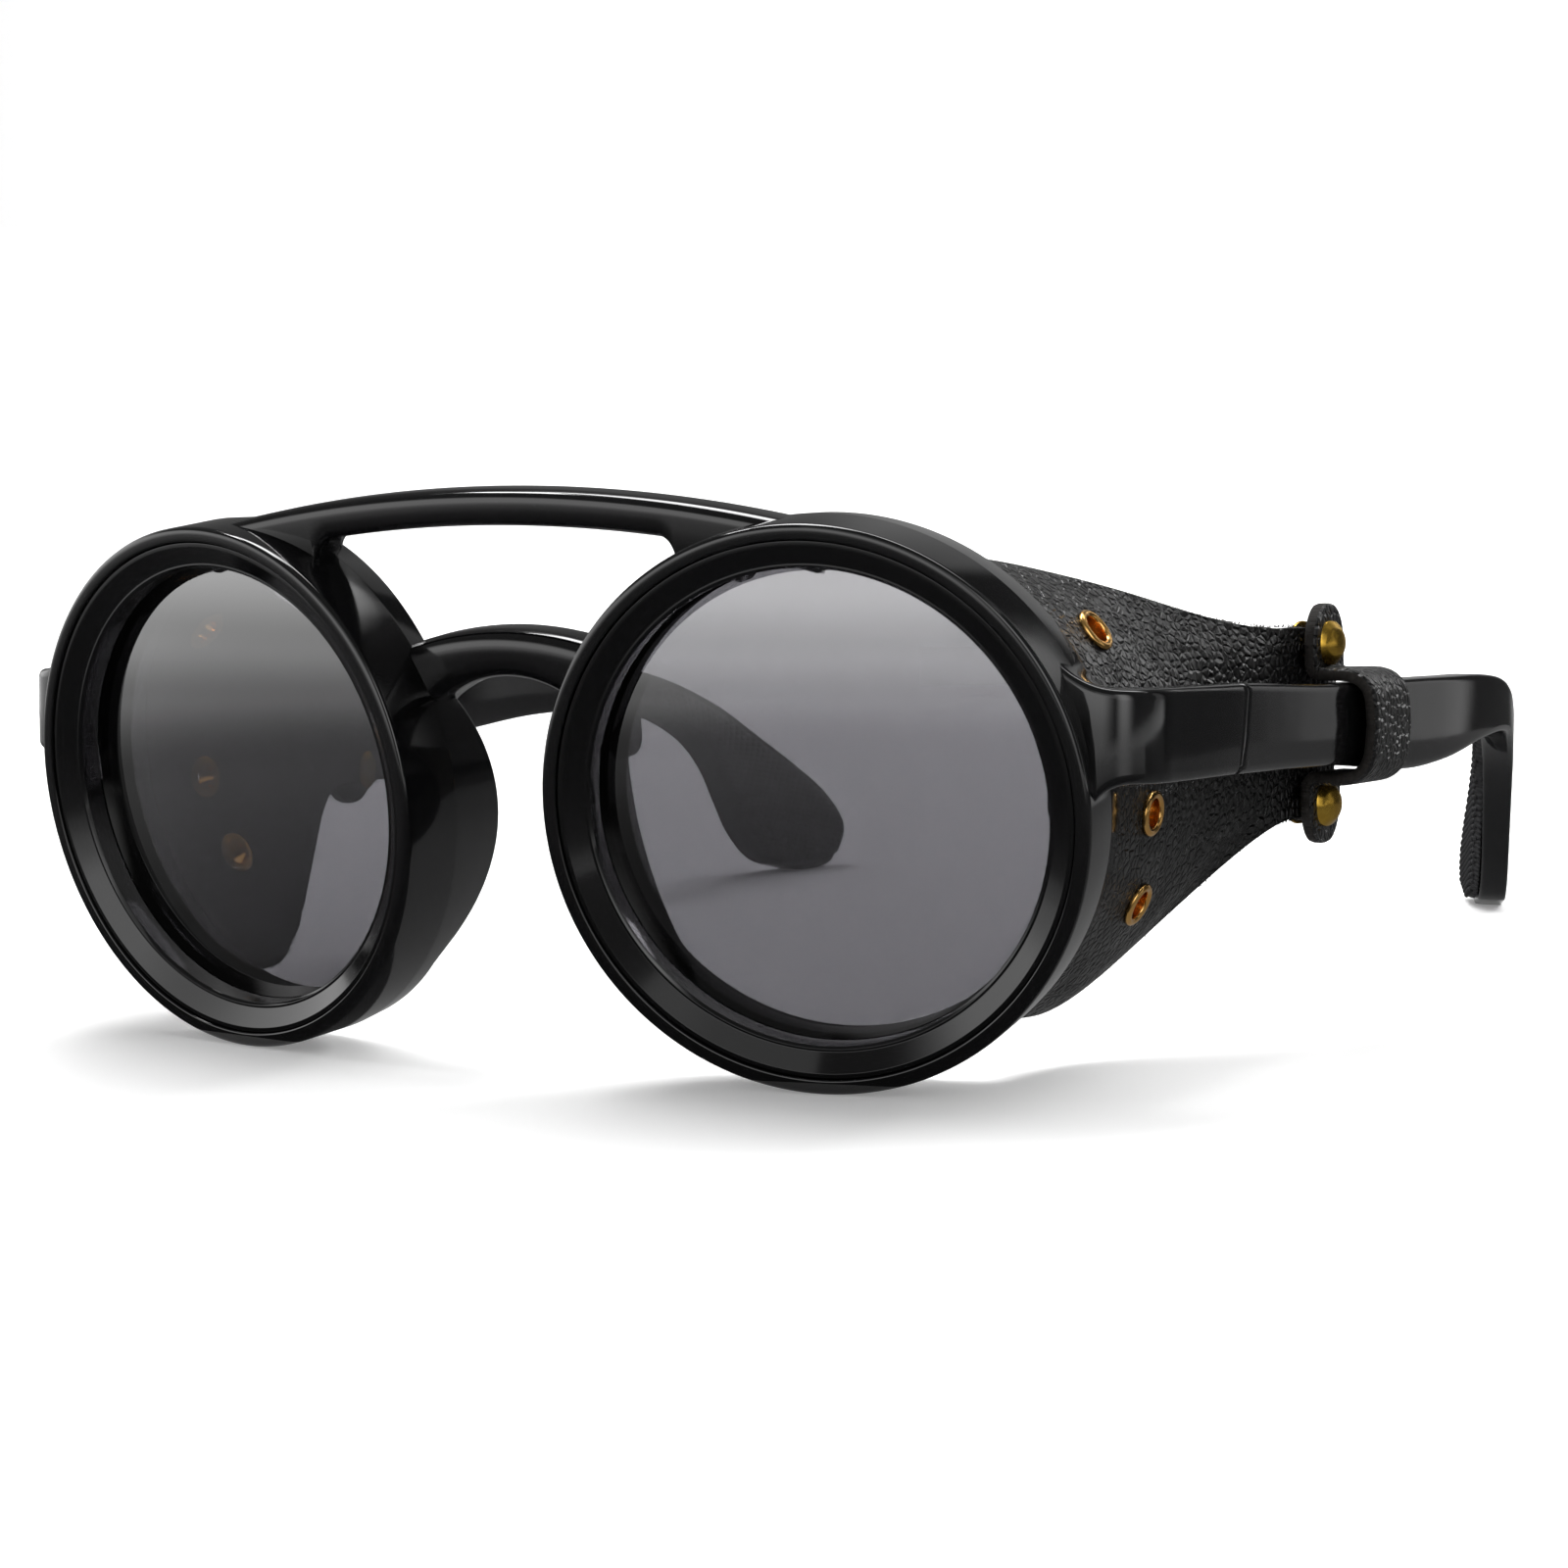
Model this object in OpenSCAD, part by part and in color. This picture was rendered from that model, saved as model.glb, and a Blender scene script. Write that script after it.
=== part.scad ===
// Round glacier glasses with leather side shields.
// The front faces -Y, +Z is up and +X is the wearer's left. The glasses stand on their
// rims and temple tips. The origin is on the ground, under the middle of the whole object.

/* [Lenses and rims] */
// Visible diameter of each lens
lens_d = 49; // [48:0.5:49]
// Distance between the two lens centres
lens_spacing = 74.8; // [74.6:0.1:75]
// Outer diameter of each rim
rim_d = 58.4; // [58:0.1:58.6]
// Angle that each rim wraps back round the face
wrap_angle = 9; // [8.5:0.25:9.5]
// Lean of the front towards the brow, measured against the temples
front_lean = 8.4; // [8:0.1:8.8]
// Depth of a rim beside the nose
rim_depth_nose = 10; // [9.5:0.25:10.5]
// Depth of a rim beside the temple
rim_depth_side = 13; // [12.75:0.25:13.25]

/* [Bridges] */
// Height of the brow bar
bar_h = 3.9; // [3.4:0.1:4.4]
// Height of the saddle bridge
bridge_h = 5.2; // [4.8:0.1:5.6]

/* [Temples] */
// Overall width across the end pieces
frame_w = 144.4; // [144:0.2:145]
// Distance from the front plane to the temple joint, at mid height
joint_y = 28.6; // [28:0.2:29]
// Slant of the temple joint
joint_slant = 9.5; // [8:0.5:12]
// Thickness of a temple
temple_t = 4.4; // [4:0.1:4.6]
// Radius at which a temple curves in behind the head
temple_curve_r = 170; // [165:1:175]

/* [Leather] */
// Thickness of the side shields
shield_t = 1.6; // [1.4:0.1:1.7]
// Thickness of the temple loops
loop_t = 1.4; // [1.2:0.1:1.5]
// Width of the temple loops
loop_w = 11; // [10:0.5:11.5]

/* [Hidden] */
$fn = 96;

// ---- standing pose: the temples slope down to their tips, which touch the ground ----
rest_tilt = 2.8;
stand_h = 28.98;
middle_y = 79.6;

// ---- rims ----
lens_r = lens_d / 2;
rim_r = rim_d / 2;
centre_x = lens_spacing / 2;
lens_depth = 4.65;         // rim front to the lens edge
lens_t = 2;
lens_edge_r = lens_r + 1.1;
lens_curve_r = 130;
seat_r = rim_r - 1.7;      // seat of the lens ring
shoulder_r = lens_r - 0.3;
rear_slope = atan((rim_depth_side - rim_depth_nose) / rim_d);
rear_mid = (rim_depth_side + rim_depth_nose) / 2;
front_round = 0.8;         // softened front edge
wall_bend = 7.5;           // the outer wall tapers from this depth back
wall_taper = 0.6;
pad_front = 7;
pad_depth = 15;            // nose pads reach this far back
pad_r = 28;
pad_drop = 4;              // fullest point of a nose pad, below the middle of the rim

// ---- bridges, heights above the middle of the rims ----
bar_top = 32.6;
bar_curve_r = 178;
bridge_top = 17.8;
bridge_curve_r = 41;
keyhole_r = 15;
bar_front = 2.4;           // depths behind the front plane
bar_rear = 7.6;
bar_reach = 38;            // half length of the brow bar
saddle_front = 2.6;
saddle_rear = 9;
saddle_reach = 17;
saddle_low = 3;            // the keyhole's sides end at this height

// ---- end pieces and temples ----
side_x = frame_w / 2;
inner_x = side_x - temple_t;
end_top = 12.8;
end_low = 3.5;
end_mid = (end_top + end_low) / 2;
end_front = 6;
end_corner = 4;            // rounding where the end piece turns back
end_root = 60;             // the end piece starts inside the rim
flare_root = 62;
flare_half = 8.6;          // half height of the flare inside the rim
fillet_x = 69.3;
fillet_r = 4.3;
curve_start = 88;
grip_start = 131;
grip_inset = 1.3;          // the grip stays inside the temple's outline
grip_sunk = 0.8;
grip_t = 1;

// ---- hinges ----
axis_x = inner_x - 1.9;
axis_y = joint_y + 2.03;
barrel_r = 1.3;
screw_r = 0.7;
knuckle_gap = 0.06;
knuckle_h = 1.3;
barrel_low = end_mid - 2.5 * knuckle_h;
leaf_t = 1;
leaf_l = 8;
ANCHOR = [1.6, 4, 3];

// ---- leather and its metal ----
groove_r = 27.05;          // middle of the groove behind each rim
groove_w = shield_t + 0.2;
groove_depth = 10.4;
upper_span = 59;           // the shield grips the rim this far up from the side
lower_span = 63.5;         // and this far down
tail_y = 74.5;
tail_x = inner_x - 0.5 - shield_t / 2;
tail_top = 18;
tail_low = -3.2;
tail_flare = 0.12;         // outward slope of the tail
tail_flat = 0.74;          // the tail is flat from here back
tail_cut = 69.5;           // the leather is cut off here, behind the tabs
post_r = 1;
head_r = 2.25;              // domed head of a rivet
head_h = 1.4;
head_ball_r = 2.9;
eyelet_r = 1.65;
hole_gap = 0.05;
loop_y = 60.8;
loop_top = 13.5;
loop_low = 0.4;
loop_x = side_x + 0.35;
tab_x = tail_x + shield_t / 2 + 0.05;
tab_r = 4;
tab_neck = 4;

// Places on a shield: how far up (-1 to 1) and how far back (0 to 1)
TOP_EYELET = [0.61, 0.158];
MIDDLE_EYELET = [-0.118, 0.18];
LOW_EYELET = [-0.475, 0.215];
UPPER_RIVET = [0.83, 0.84];
LOWER_RIVET = [-0.85, 0.815];

// ---- helpers ----
module standing()
    translate([0, -middle_y, stand_h])
        rotate([-rest_tilt, 0, 0])
            children();

module on_side(s)
    if (s > 0) children();
    else mirror([1, 0, 0]) children();

module leaning()
    rotate([front_lean, 0, 0])
        children();

// Draws its children round a left rim's axis, with +Z going back from the front plane
module at_rim()
    leaning()
        translate([centre_x, 0, 0])
            rotate([0, 0, wrap_angle])
                rotate([-90, 0, 0])
                    children();

module ring_slot(r_in, r_out, d0, d1)
    translate([0, 0, d0])
        difference() {
            cylinder(r = r_out, h = d1 - d0);
            translate([0, 0, -1])
                cylinder(r = r_in, h = d1 - d0 + 2);
        }

// ---- front frame ----
module rim_outside()
    intersection() {
        rotate_extrude()
            polygon([[0, 0], [rim_r - front_round, 0], [rim_r, front_round],
                     [rim_r + 0.1, wall_bend], [rim_r - wall_taper, rim_depth_side + 1],
                     [0, rim_depth_side + 1]]);
        rear_cut();
    }

// Keeps the rim deeper beside the temple than beside the nose
module rear_cut()
    rotate([0, -rear_slope, 0])
        translate([-rim_d, -rim_d, -rim_d + rear_mid])
            cube([2 * rim_d, 2 * rim_d, rim_d]);

module nose_pad()
    intersection() {
        ring_slot(lens_r - 0.9, rim_r - 0.9, pad_front, pad_depth);
        translate([-rim_r, pad_drop, pad_depth - pad_r])
            rotate([0, 90, 0])
                cylinder(r = pad_r, h = rim_r - 3);
    }

module rim_bore() {
    translate([0, 0, -1])
        cylinder(r = seat_r, h = lens_depth + 1);
    cylinder(r = lens_edge_r + 0.1, h = lens_depth + lens_t + 0.4);
    cylinder(r = shoulder_r, h = wall_bend);
    translate([0, 0, wall_bend - 0.1])
        cylinder(r1 = shoulder_r, r2 = shoulder_r + 0.6, h = 10);
}

module shield_groove()
    intersection() {
        ring_slot(groove_r - groove_w / 2, groove_r + groove_w / 2, groove_depth, 16);
        translate([groove_r * cos(lower_span + 3), -rim_d, 0])
            cube([rim_d, 2 * rim_d, 20]);
    }

module brow_bar()
    translate([0, bar_rear, 0])
        rotate([90, 0, 0])
            linear_extrude(bar_rear - bar_front)
                intersection() {
                    translate([0, bar_top - bar_curve_r])
                        difference() {
                            circle(bar_curve_r, $fn = 360);
                            circle(bar_curve_r - bar_h, $fn = 360);
                        }
                    translate([-bar_reach, 0])
                        square([2 * bar_reach, bar_top + 1]);
                }

module saddle_bridge()
    translate([0, saddle_rear, 0])
        rotate([90, 0, 0])
            linear_extrude(saddle_rear - saddle_front)
                intersection() {
                    translate([0, bridge_top - bridge_curve_r])
                        circle(bridge_curve_r, $fn = 180);
                    difference() {
                        translate([-saddle_reach, saddle_low])
                            square([2 * saddle_reach, bridge_top]);
                        translate([0, bridge_top - bridge_h - keyhole_r])
                            circle(keyhole_r);
                    }
                }

// The end piece turns the corner from the rim to the temple joint
module end_piece()
    difference() {
        union() {
            translate([0, 0, end_low])
                linear_extrude(end_top - end_low)
                    end_plan();
            end_flare();
        }
        joint_side(1);
    }

module end_plan() {
    bend_y = end_front + end_corner;
    translate([inner_x, bend_y])
        square([temple_t, joint_y + 10 - bend_y]);
    translate([side_x - end_corner, bend_y])
        circle(end_corner);
    translate([end_root, end_front])
        square([side_x - end_root - end_corner, 2 * end_corner]);
    translate([inner_x - end_corner / 2, bend_y])
        square([end_corner, 5]);
}

// Fillets that widen the end piece where it meets the rim
module end_flare()
    translate([0, end_front + 2 * end_corner - 0.2, 0])
        rotate([90, 0, 0])
            linear_extrude(2 * end_corner - 0.4)
                difference() {
                    translate([flare_root, end_mid - flare_half])
                        square([fillet_x - flare_root - 0.3, 2 * flare_half]);
                    for (s = [-1, 1])
                        translate([fillet_x, end_mid + s * (flare_half + 0.3)])
                            circle(fillet_r);
                }

// Everything behind (1) or before (-1) the slanted temple joint
module joint_side(s)
    translate([0, joint_y, end_mid])
        rotate([-joint_slant, 0, 0])
            translate([40, s > 0 ? 0 : -60, -40])
                cube([60, 60, 80]);

module front_frame()
    color("#141414") standing()
        difference() {
            union() {
                leaning() {
                    brow_bar();
                    saddle_bridge();
                }
                for (s = [1, -1])
                    on_side(s) {
                        at_rim() {
                            rim_outside();
                            nose_pad();
                        }
                        end_piece();
                    }
            }
            for (s = [1, -1])
                on_side(s) {
                    at_rim() {
                        rim_bore();
                        shield_groove();
                    }
                    leaf_anchor(-1);
                }
        }

// ---- lens rings and lenses ----
module lens_ring(s)
    color("#1c1c1c") standing() on_side(s) at_rim()
        rotate_extrude()
            polygon([[seat_r - 0.04, 0.35], [seat_r - 0.5, 0.35], [lens_r + 0.5, 1.7],
                     [lens_r, 2], [lens_r, lens_depth - 0.25],
                     [seat_r - 0.04, lens_depth - 0.25]]);

module lens(s)
    color("#3a3c40", 0.5) standing() on_side(s) at_rim()
        intersection() {
            difference() {
                lens_ball(0);
                lens_ball(lens_t);
            }
            cylinder(r = lens_edge_r, h = lens_depth + lens_t + 0.2);
        }

module lens_ball(inset) {
    back = lens_depth + sqrt(lens_curve_r * lens_curve_r - lens_edge_r * lens_edge_r);
    translate([0, 0, back])
        sphere(r = lens_curve_r - inset, $fn = 300);
}

// ---- hinges: three knuckles on the front leaf, two on the temple leaf ----
module leaf_plate(dir, grow) {
    y0 = dir > 0 ? axis_y : axis_y - leaf_l;
    translate([inner_x - leaf_t, y0, barrel_low + grow])
        cube([leaf_t, leaf_l, 5 * knuckle_h - 2 * grow]);
}

// The anchor is moulded into the plastic behind the leaf
module leaf_anchor(dir)
    translate([inner_x, dir > 0 ? axis_y + 3 : axis_y - 7.5, end_mid - ANCHOR[2] / 2])
        cube(ANCHOR);

module knuckle(i)
    translate([axis_x, axis_y, barrel_low + i * knuckle_h + knuckle_gap / 2])
        cylinder(r = barrel_r, h = knuckle_h - knuckle_gap);

module knuckle_space(i)
    translate([axis_x - 3, axis_y - 2, barrel_low + i * knuckle_h - knuckle_gap / 2])
        cube([6, 4, knuckle_h + knuckle_gap]);

module hinge_leaf(s, dir)
    color("#b9bcc0") standing() on_side(s) {
        own = dir < 0 ? [0, 2, 4] : [1, 3];
        other = dir < 0 ? [1, 3] : [0, 2, 4];
        difference() {
            union() {
                difference() {
                    leaf_plate(dir, 0.2);
                    for (i = other) knuckle_space(i);
                }
                for (i = own) {
                    knuckle(i);
                    translate([axis_x, dir > 0 ? axis_y : axis_y - barrel_r,
                               barrel_low + i * knuckle_h + knuckle_gap / 2])
                        cube([inner_x - axis_x, barrel_r, knuckle_h - knuckle_gap]);
                }
                leaf_anchor(dir);
            }
            translate([axis_x, axis_y, barrel_low - 1])
                cylinder(r = screw_r + (dir < 0 ? 0 : 0.05), h = 10);
        }
    }

module hinge_screw(s)
    color("#c9ccd0") standing() on_side(s)
        translate([axis_x, axis_y, barrel_low])
            difference() {
                union() {
                    cylinder(r = screw_r, h = 5 * knuckle_h);
                    translate([0, 0, 5 * knuckle_h])
                        cylinder(r = barrel_r - 0.1, h = 0.6);
                }
                translate([-2, -0.15, 5 * knuckle_h + 0.3])
                    cube([4, 0.3, 1]);
            }

// ---- temples ----
// Edge stations of a temple seen from the side: [top y, top z, bottom y, bottom z]
TEMPLE_EDGES = [
    [26, 12.8, 22, 3.5], [55, 12.0, 55, 3.1], [68, 11.9, 67, 2.4], [80, 11.9, 79, 1.6],
    [93, 11.8, 92, 2.2], [108, 11.6, 107, 3.7], [122, 10.6, 121, 4.0], [133, 8.3, 131, 2.8],
    [143, 4.2, 138.5, -0.6], [151, -1.0, 143, -5.2], [157.5, -5.6, 145.8, -10.8],
    [162.5, -10, 148.2, -15.5], [165.3, -15, 152, -19.6], [163.5, -19.6, 157.5, -21.3]];

// Smooth curve through four stations
function spline(a, b, c, d, t) =
    0.5 * ((2 * b) + (c - a) * t + (2 * a - 5 * b + 4 * c - d) * t * t
           + (3 * b - a - 3 * c + d) * t * t * t);

function edge_at(i, t) =
    let (n = len(TEMPLE_EDGES) - 1)
    spline(TEMPLE_EDGES[max(i - 1, 0)], TEMPLE_EDGES[i],
           TEMPLE_EDGES[min(i + 1, n)], TEMPLE_EDGES[min(i + 2, n)], t);

EDGE_STEPS = 4;
EDGES = [for (i = [0 : len(TEMPLE_EDGES) - 2]) for (k = [0 : EDGE_STEPS - 1])
             edge_at(i, k / EDGE_STEPS), TEMPLE_EDGES[len(TEMPLE_EDGES) - 1]];

module temple_side_outline()
    polygon(concat([for (e = EDGES) [e[0], e[1]]],
                   [for (i = [len(EDGES) - 1 : -1 : 0]) [EDGES[i][2], EDGES[i][3]]]));

// Plan of a temple: straight, then curving in behind the head
module temple_plan(inset, t) {
    translate([side_x - inset - t, 0])
        square([t, curve_start]);
    translate([side_x - temple_curve_r, curve_start])
        intersection() {
            difference() {
                circle(temple_curve_r - inset, $fn = 360);
                circle(temple_curve_r - inset - t, $fn = 360);
            }
            square([temple_curve_r, 90]);
        }
}

module temple_blank(inset, t)
    intersection() {
        translate([0, 0, -30])
            linear_extrude(50)
                temple_plan(inset, t);
        rotate([90, 0, 90])
            linear_extrude(80)
                children();
    }

module grip_outline()
    intersection() {
        offset(delta = -grip_inset)
            temple_side_outline();
        translate([grip_start, -30])
            square([50, 60]);
    }

module temple(s)
    color("#171717") standing() on_side(s)
        difference() {
            temple_blank(0, temple_t)
                temple_side_outline();
            joint_side(-1);
            temple_blank(temple_t - grip_sunk, 2 * grip_t)
                grip_outline();
            leaf_anchor(1);
        }

module grip_pad(s)
    color("#202020") standing() on_side(s)
        temple_blank(temple_t - grip_sunk, grip_t)
            grip_outline();

// ---- side shields ----
function lean_point(p) = [p[0], p[1] * cos(front_lean) - p[2] * sin(front_lean),
                          p[1] * sin(front_lean) + p[2] * cos(front_lean)];

// A point on the left rim, at an angle up from the side and a depth behind the front plane
function rim_point(a, d) =
    let (x = groove_r * cos(a), z = groove_r * sin(a))
    lean_point([centre_x + x * cos(wrap_angle) - d * sin(wrap_angle),
                x * sin(wrap_angle) + d * cos(wrap_angle), z]);

function rim_rear(a) = rear_mid + groove_r * cos(a) * tan(rear_slope);

function ease(v) = v * v * (3 - 2 * v);

function grip_angle(u) = u * (u < 0 ? lower_span : upper_span);

// How far the leather has settled from the rim's round to the tail's height
function settled(u, v) = ease(min(max((v - 0.075 + 0.075 * u) / (0.66 + 0.07 * u), 0), 1));

// Middle surface of the left shield, from its round grip on the rim to its flat tail
function shield_mid(u, v) =
    let (a = grip_angle(u),
         p = rim_point(a, rim_rear(a)),
         y = p[1] + (tail_y - p[1]) * v,
         x = tail_x - (tail_y - y) * tail_flare,
         z = (tail_top + tail_low) / 2 + u * (tail_top - tail_low) / 2)
    [p[0] + (x - p[0]) * ease(min(v / tail_flat, 1)), y, p[2] + (z - p[2]) * settled(u, v)];

function unit(p) = p / norm(p);

function shield_normal(u, v) =
    let (h = 0.01,
         du = shield_mid(u + h, v) - shield_mid(u - h, v),
         dv = shield_mid(u, v + h) - shield_mid(u, max(v - h, 0)))
    unit(cross(dv, du));

function grip_normal(a) =
    lean_point([cos(a) * cos(wrap_angle), cos(a) * sin(wrap_angle), sin(a)]);

SHIELD_U = 20;
SHIELD_V = 12;

// Row 0 lies in the rim's groove, the others run back to the tail
function shield_point(i, j, k) =
    let (u = 2 * i / SHIELD_U - 1, a = grip_angle(u), out = (k - 0.5) * shield_t)
    j == 0 ? rim_point(a, groove_depth + 0.2) + out * grip_normal(a)
    : j == 1 ? rim_point(a, rim_rear(a)) + out * grip_normal(a)
    : shield_mid(u, (j - 1) / (SHIELD_V - 1)) + out * shield_normal(u, (j - 1) / (SHIELD_V - 1));

function shield_id(i, j, k) = (k * (SHIELD_V + 1) + j) * (SHIELD_U + 1) + i;

function quad(a, b, c, d) = [[a, b, c], [a, c, d]];

module shield_sheet() {
    points = [for (k = [0, 1]) for (j = [0 : SHIELD_V]) for (i = [0 : SHIELD_U])
                  shield_point(i, j, k)];
    faces = concat(
        [for (j = [0 : SHIELD_V - 1]) for (i = [0 : SHIELD_U - 1])
            each quad(shield_id(i, j, 1), shield_id(i + 1, j, 1),
                      shield_id(i + 1, j + 1, 1), shield_id(i, j + 1, 1))],
        [for (j = [0 : SHIELD_V - 1]) for (i = [0 : SHIELD_U - 1])
            each quad(shield_id(i, j, 0), shield_id(i, j + 1, 0),
                      shield_id(i + 1, j + 1, 0), shield_id(i + 1, j, 0))],
        [for (j = [0 : SHIELD_V - 1])
            each quad(shield_id(0, j, 0), shield_id(0, j, 1),
                      shield_id(0, j + 1, 1), shield_id(0, j + 1, 0))],
        [for (j = [0 : SHIELD_V - 1])
            each quad(shield_id(SHIELD_U, j, 0), shield_id(SHIELD_U, j + 1, 0),
                      shield_id(SHIELD_U, j + 1, 1), shield_id(SHIELD_U, j, 1))],
        [for (i = [0 : SHIELD_U - 1])
            each quad(shield_id(i, 0, 0), shield_id(i + 1, 0, 0),
                      shield_id(i + 1, 0, 1), shield_id(i, 0, 1))],
        [for (i = [0 : SHIELD_U - 1])
            each quad(shield_id(i, SHIELD_V, 0), shield_id(i, SHIELD_V, 1),
                      shield_id(i + 1, SHIELD_V, 1), shield_id(i + 1, SHIELD_V, 0))]);
    polyhedron(points, faces);
}

// Draws its children at a place on the left shield, with +Z out of the leather
module on_shield(place) {
    n = shield_normal(place[0], place[1]);
    translate(shield_mid(place[0], place[1]))
        rotate([0, acos(n[2]), atan2(n[1], n[0])])
            children();
}

module side_shield(s)
    color("#26221f") standing() on_side(s)
        difference() {
            shield_sheet();
            for (place = [TOP_EYELET, MIDDLE_EYELET, LOW_EYELET])
                on_shield(place)
                    translate([0, 0, -3])
                        cylinder(r = eyelet_r + hole_gap, h = 6);
            for (place = [UPPER_RIVET, LOWER_RIVET])
                on_shield(place)
                    translate([0, 0, -3])
                        cylinder(r = post_r + hole_gap, h = 6);
            translate([inner_x - 10, tail_cut, tail_low - 5])
                cube([20, 20, tail_top - tail_low + 10]);
        }

module eyelet(s, place)
    color("#d8a85a") standing() on_side(s) on_shield(place)
        rotate_extrude() {
            translate([eyelet_r + 0.2, shield_t / 2 + 0.6])
                circle(0.5, $fn = 32);
            translate([eyelet_r - 0.25, -shield_t / 2 - 0.6])
                square([0.25, shield_t + 1.2]);
        }

module eyelet_washer(s, place)
    color("#c9974a") standing() on_side(s) on_shield(place)
        translate([0, 0, -shield_t / 2 - 0.6])
            difference() {
                cylinder(r = 2.5, h = 0.4);
                translate([0, 0, -1])
                    cylinder(r = eyelet_r + 0.01, h = 3);
            }

// ---- temple loops and rivets ----
module temple_loop(s)
    color("#211e1b") standing() on_side(s)
        difference() {
            union() {
                translate([loop_x, loop_y, loop_low])
                    cube([loop_t, loop_w, loop_top - loop_low]);
                for (z = [loop_top - loop_t, loop_low])
                    translate([tab_x, loop_y, z])
                        cube([loop_x + loop_t - tab_x, loop_w, loop_t]);
                loop_tab(UPPER_RIVET, -1);
                loop_tab(LOWER_RIVET, 1);
            }
            for (place = [UPPER_RIVET, LOWER_RIVET])
                on_shield(place) {
                    translate([0, 0, -3])
                        cylinder(r = post_r + hole_gap, h = 6);
                    // The strap stands clear of the rivet heads
                    translate([0, 0, shield_t / 2 + loop_t + 0.18])
                        cylinder(r = head_r + hole_gap, h = head_h);
                }
        }

// A round tab on the leather, and the neck that joins it to the loop (1 above it, -1 below it)
module loop_tab(place, dir)
    on_shield(place)
        translate([0, 0, shield_t / 2 + 0.15]) {
            cylinder(r = tab_r, h = loop_t);
            translate([dir > 0 ? -tab_neck : 0, -tab_r, 0])
                cube([tab_neck, 2 * tab_r, loop_t]);
        }

module rivet(s, place)
    color("#c79a3f") standing() on_side(s) on_shield(place) {
        translate([0, 0, -shield_t / 2 - 0.6])
            cylinder(r = post_r, h = shield_t + loop_t + 0.8);
        translate([0, 0, shield_t / 2 + loop_t + 0.2])
            intersection() {
                cylinder(r = head_r, h = head_h);
                translate([0, 0, head_h - head_ball_r])
                    sphere(r = head_ball_r);
            }
    }

module rivet_back(s, place)
    color("#b98c37") standing() on_side(s) on_shield(place)
        translate([0, 0, -shield_t / 2 - 0.8])
            difference() {
                cylinder(r = 2.5, h = 0.7);
                translate([0, 0, 0.2])
                    cylinder(r = post_r, h = 2);
            }

front_frame();
lens_ring(1);  // left_lens_ring
lens_ring(-1);  // right_lens_ring
lens(1);  // left_lens
lens(-1);  // right_lens
hinge_leaf(1, -1);  // left_front_hinge_leaf
hinge_leaf(-1, -1);  // right_front_hinge_leaf
hinge_leaf(1, 1);  // left_temple_hinge_leaf
hinge_leaf(-1, 1);  // right_temple_hinge_leaf
hinge_screw(1);  // left_hinge_screw
hinge_screw(-1);  // right_hinge_screw
temple(1);  // left_temple
temple(-1);  // right_temple
grip_pad(1);  // left_grip_pad
grip_pad(-1);  // right_grip_pad
side_shield(1);  // left_side_shield
side_shield(-1);  // right_side_shield
eyelet(1, TOP_EYELET);  // left_top_eyelet
eyelet(1, MIDDLE_EYELET);  // left_middle_eyelet
eyelet(1, LOW_EYELET);  // left_low_eyelet
eyelet(-1, TOP_EYELET);  // right_top_eyelet
eyelet(-1, MIDDLE_EYELET);  // right_middle_eyelet
eyelet(-1, LOW_EYELET);  // right_low_eyelet
eyelet_washer(1, TOP_EYELET);  // left_top_eyelet_washer
eyelet_washer(1, MIDDLE_EYELET);  // left_middle_eyelet_washer
eyelet_washer(1, LOW_EYELET);  // left_low_eyelet_washer
eyelet_washer(-1, TOP_EYELET);  // right_top_eyelet_washer
eyelet_washer(-1, MIDDLE_EYELET);  // right_middle_eyelet_washer
eyelet_washer(-1, LOW_EYELET);  // right_low_eyelet_washer
temple_loop(1);  // left_temple_loop
temple_loop(-1);  // right_temple_loop
rivet(1, UPPER_RIVET);  // left_upper_rivet
rivet(1, LOWER_RIVET);  // left_lower_rivet
rivet(-1, UPPER_RIVET);  // right_upper_rivet
rivet(-1, LOWER_RIVET);  // right_lower_rivet
rivet_back(1, UPPER_RIVET);  // left_upper_rivet_back
rivet_back(1, LOWER_RIVET);  // left_lower_rivet_back
rivet_back(-1, UPPER_RIVET);  // right_upper_rivet_back
rivet_back(-1, LOWER_RIVET);  // right_lower_rivet_back
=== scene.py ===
# %% [markdown]
# # Round glacier glasses with leather side shields
# A polished black front holds two smoke lenses in dished rings. Leather shields close the
# sides against glare, and a leather loop on each side slips over the temple. The pieces are
# drawn in millimetres on the glasses themselves, then stood up on the ground in metres.

import math

import bmesh
import bpy
import numpy as np
from mathutils import Matrix, Vector


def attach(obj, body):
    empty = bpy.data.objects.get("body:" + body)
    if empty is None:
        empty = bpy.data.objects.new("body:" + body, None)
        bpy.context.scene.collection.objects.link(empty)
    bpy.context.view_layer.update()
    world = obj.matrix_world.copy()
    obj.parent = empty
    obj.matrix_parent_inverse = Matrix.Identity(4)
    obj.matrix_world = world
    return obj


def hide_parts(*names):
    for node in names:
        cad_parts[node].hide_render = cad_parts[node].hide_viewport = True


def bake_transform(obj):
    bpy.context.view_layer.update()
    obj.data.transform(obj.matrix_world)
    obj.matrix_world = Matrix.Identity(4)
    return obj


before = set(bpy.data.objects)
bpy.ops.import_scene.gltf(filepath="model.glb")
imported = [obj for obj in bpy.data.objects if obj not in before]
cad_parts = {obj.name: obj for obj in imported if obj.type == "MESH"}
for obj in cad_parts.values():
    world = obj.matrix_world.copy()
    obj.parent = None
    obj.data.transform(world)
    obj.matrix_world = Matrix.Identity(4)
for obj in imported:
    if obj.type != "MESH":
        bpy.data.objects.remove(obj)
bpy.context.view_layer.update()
print(len(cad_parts), "nodes from the packed model")

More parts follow.
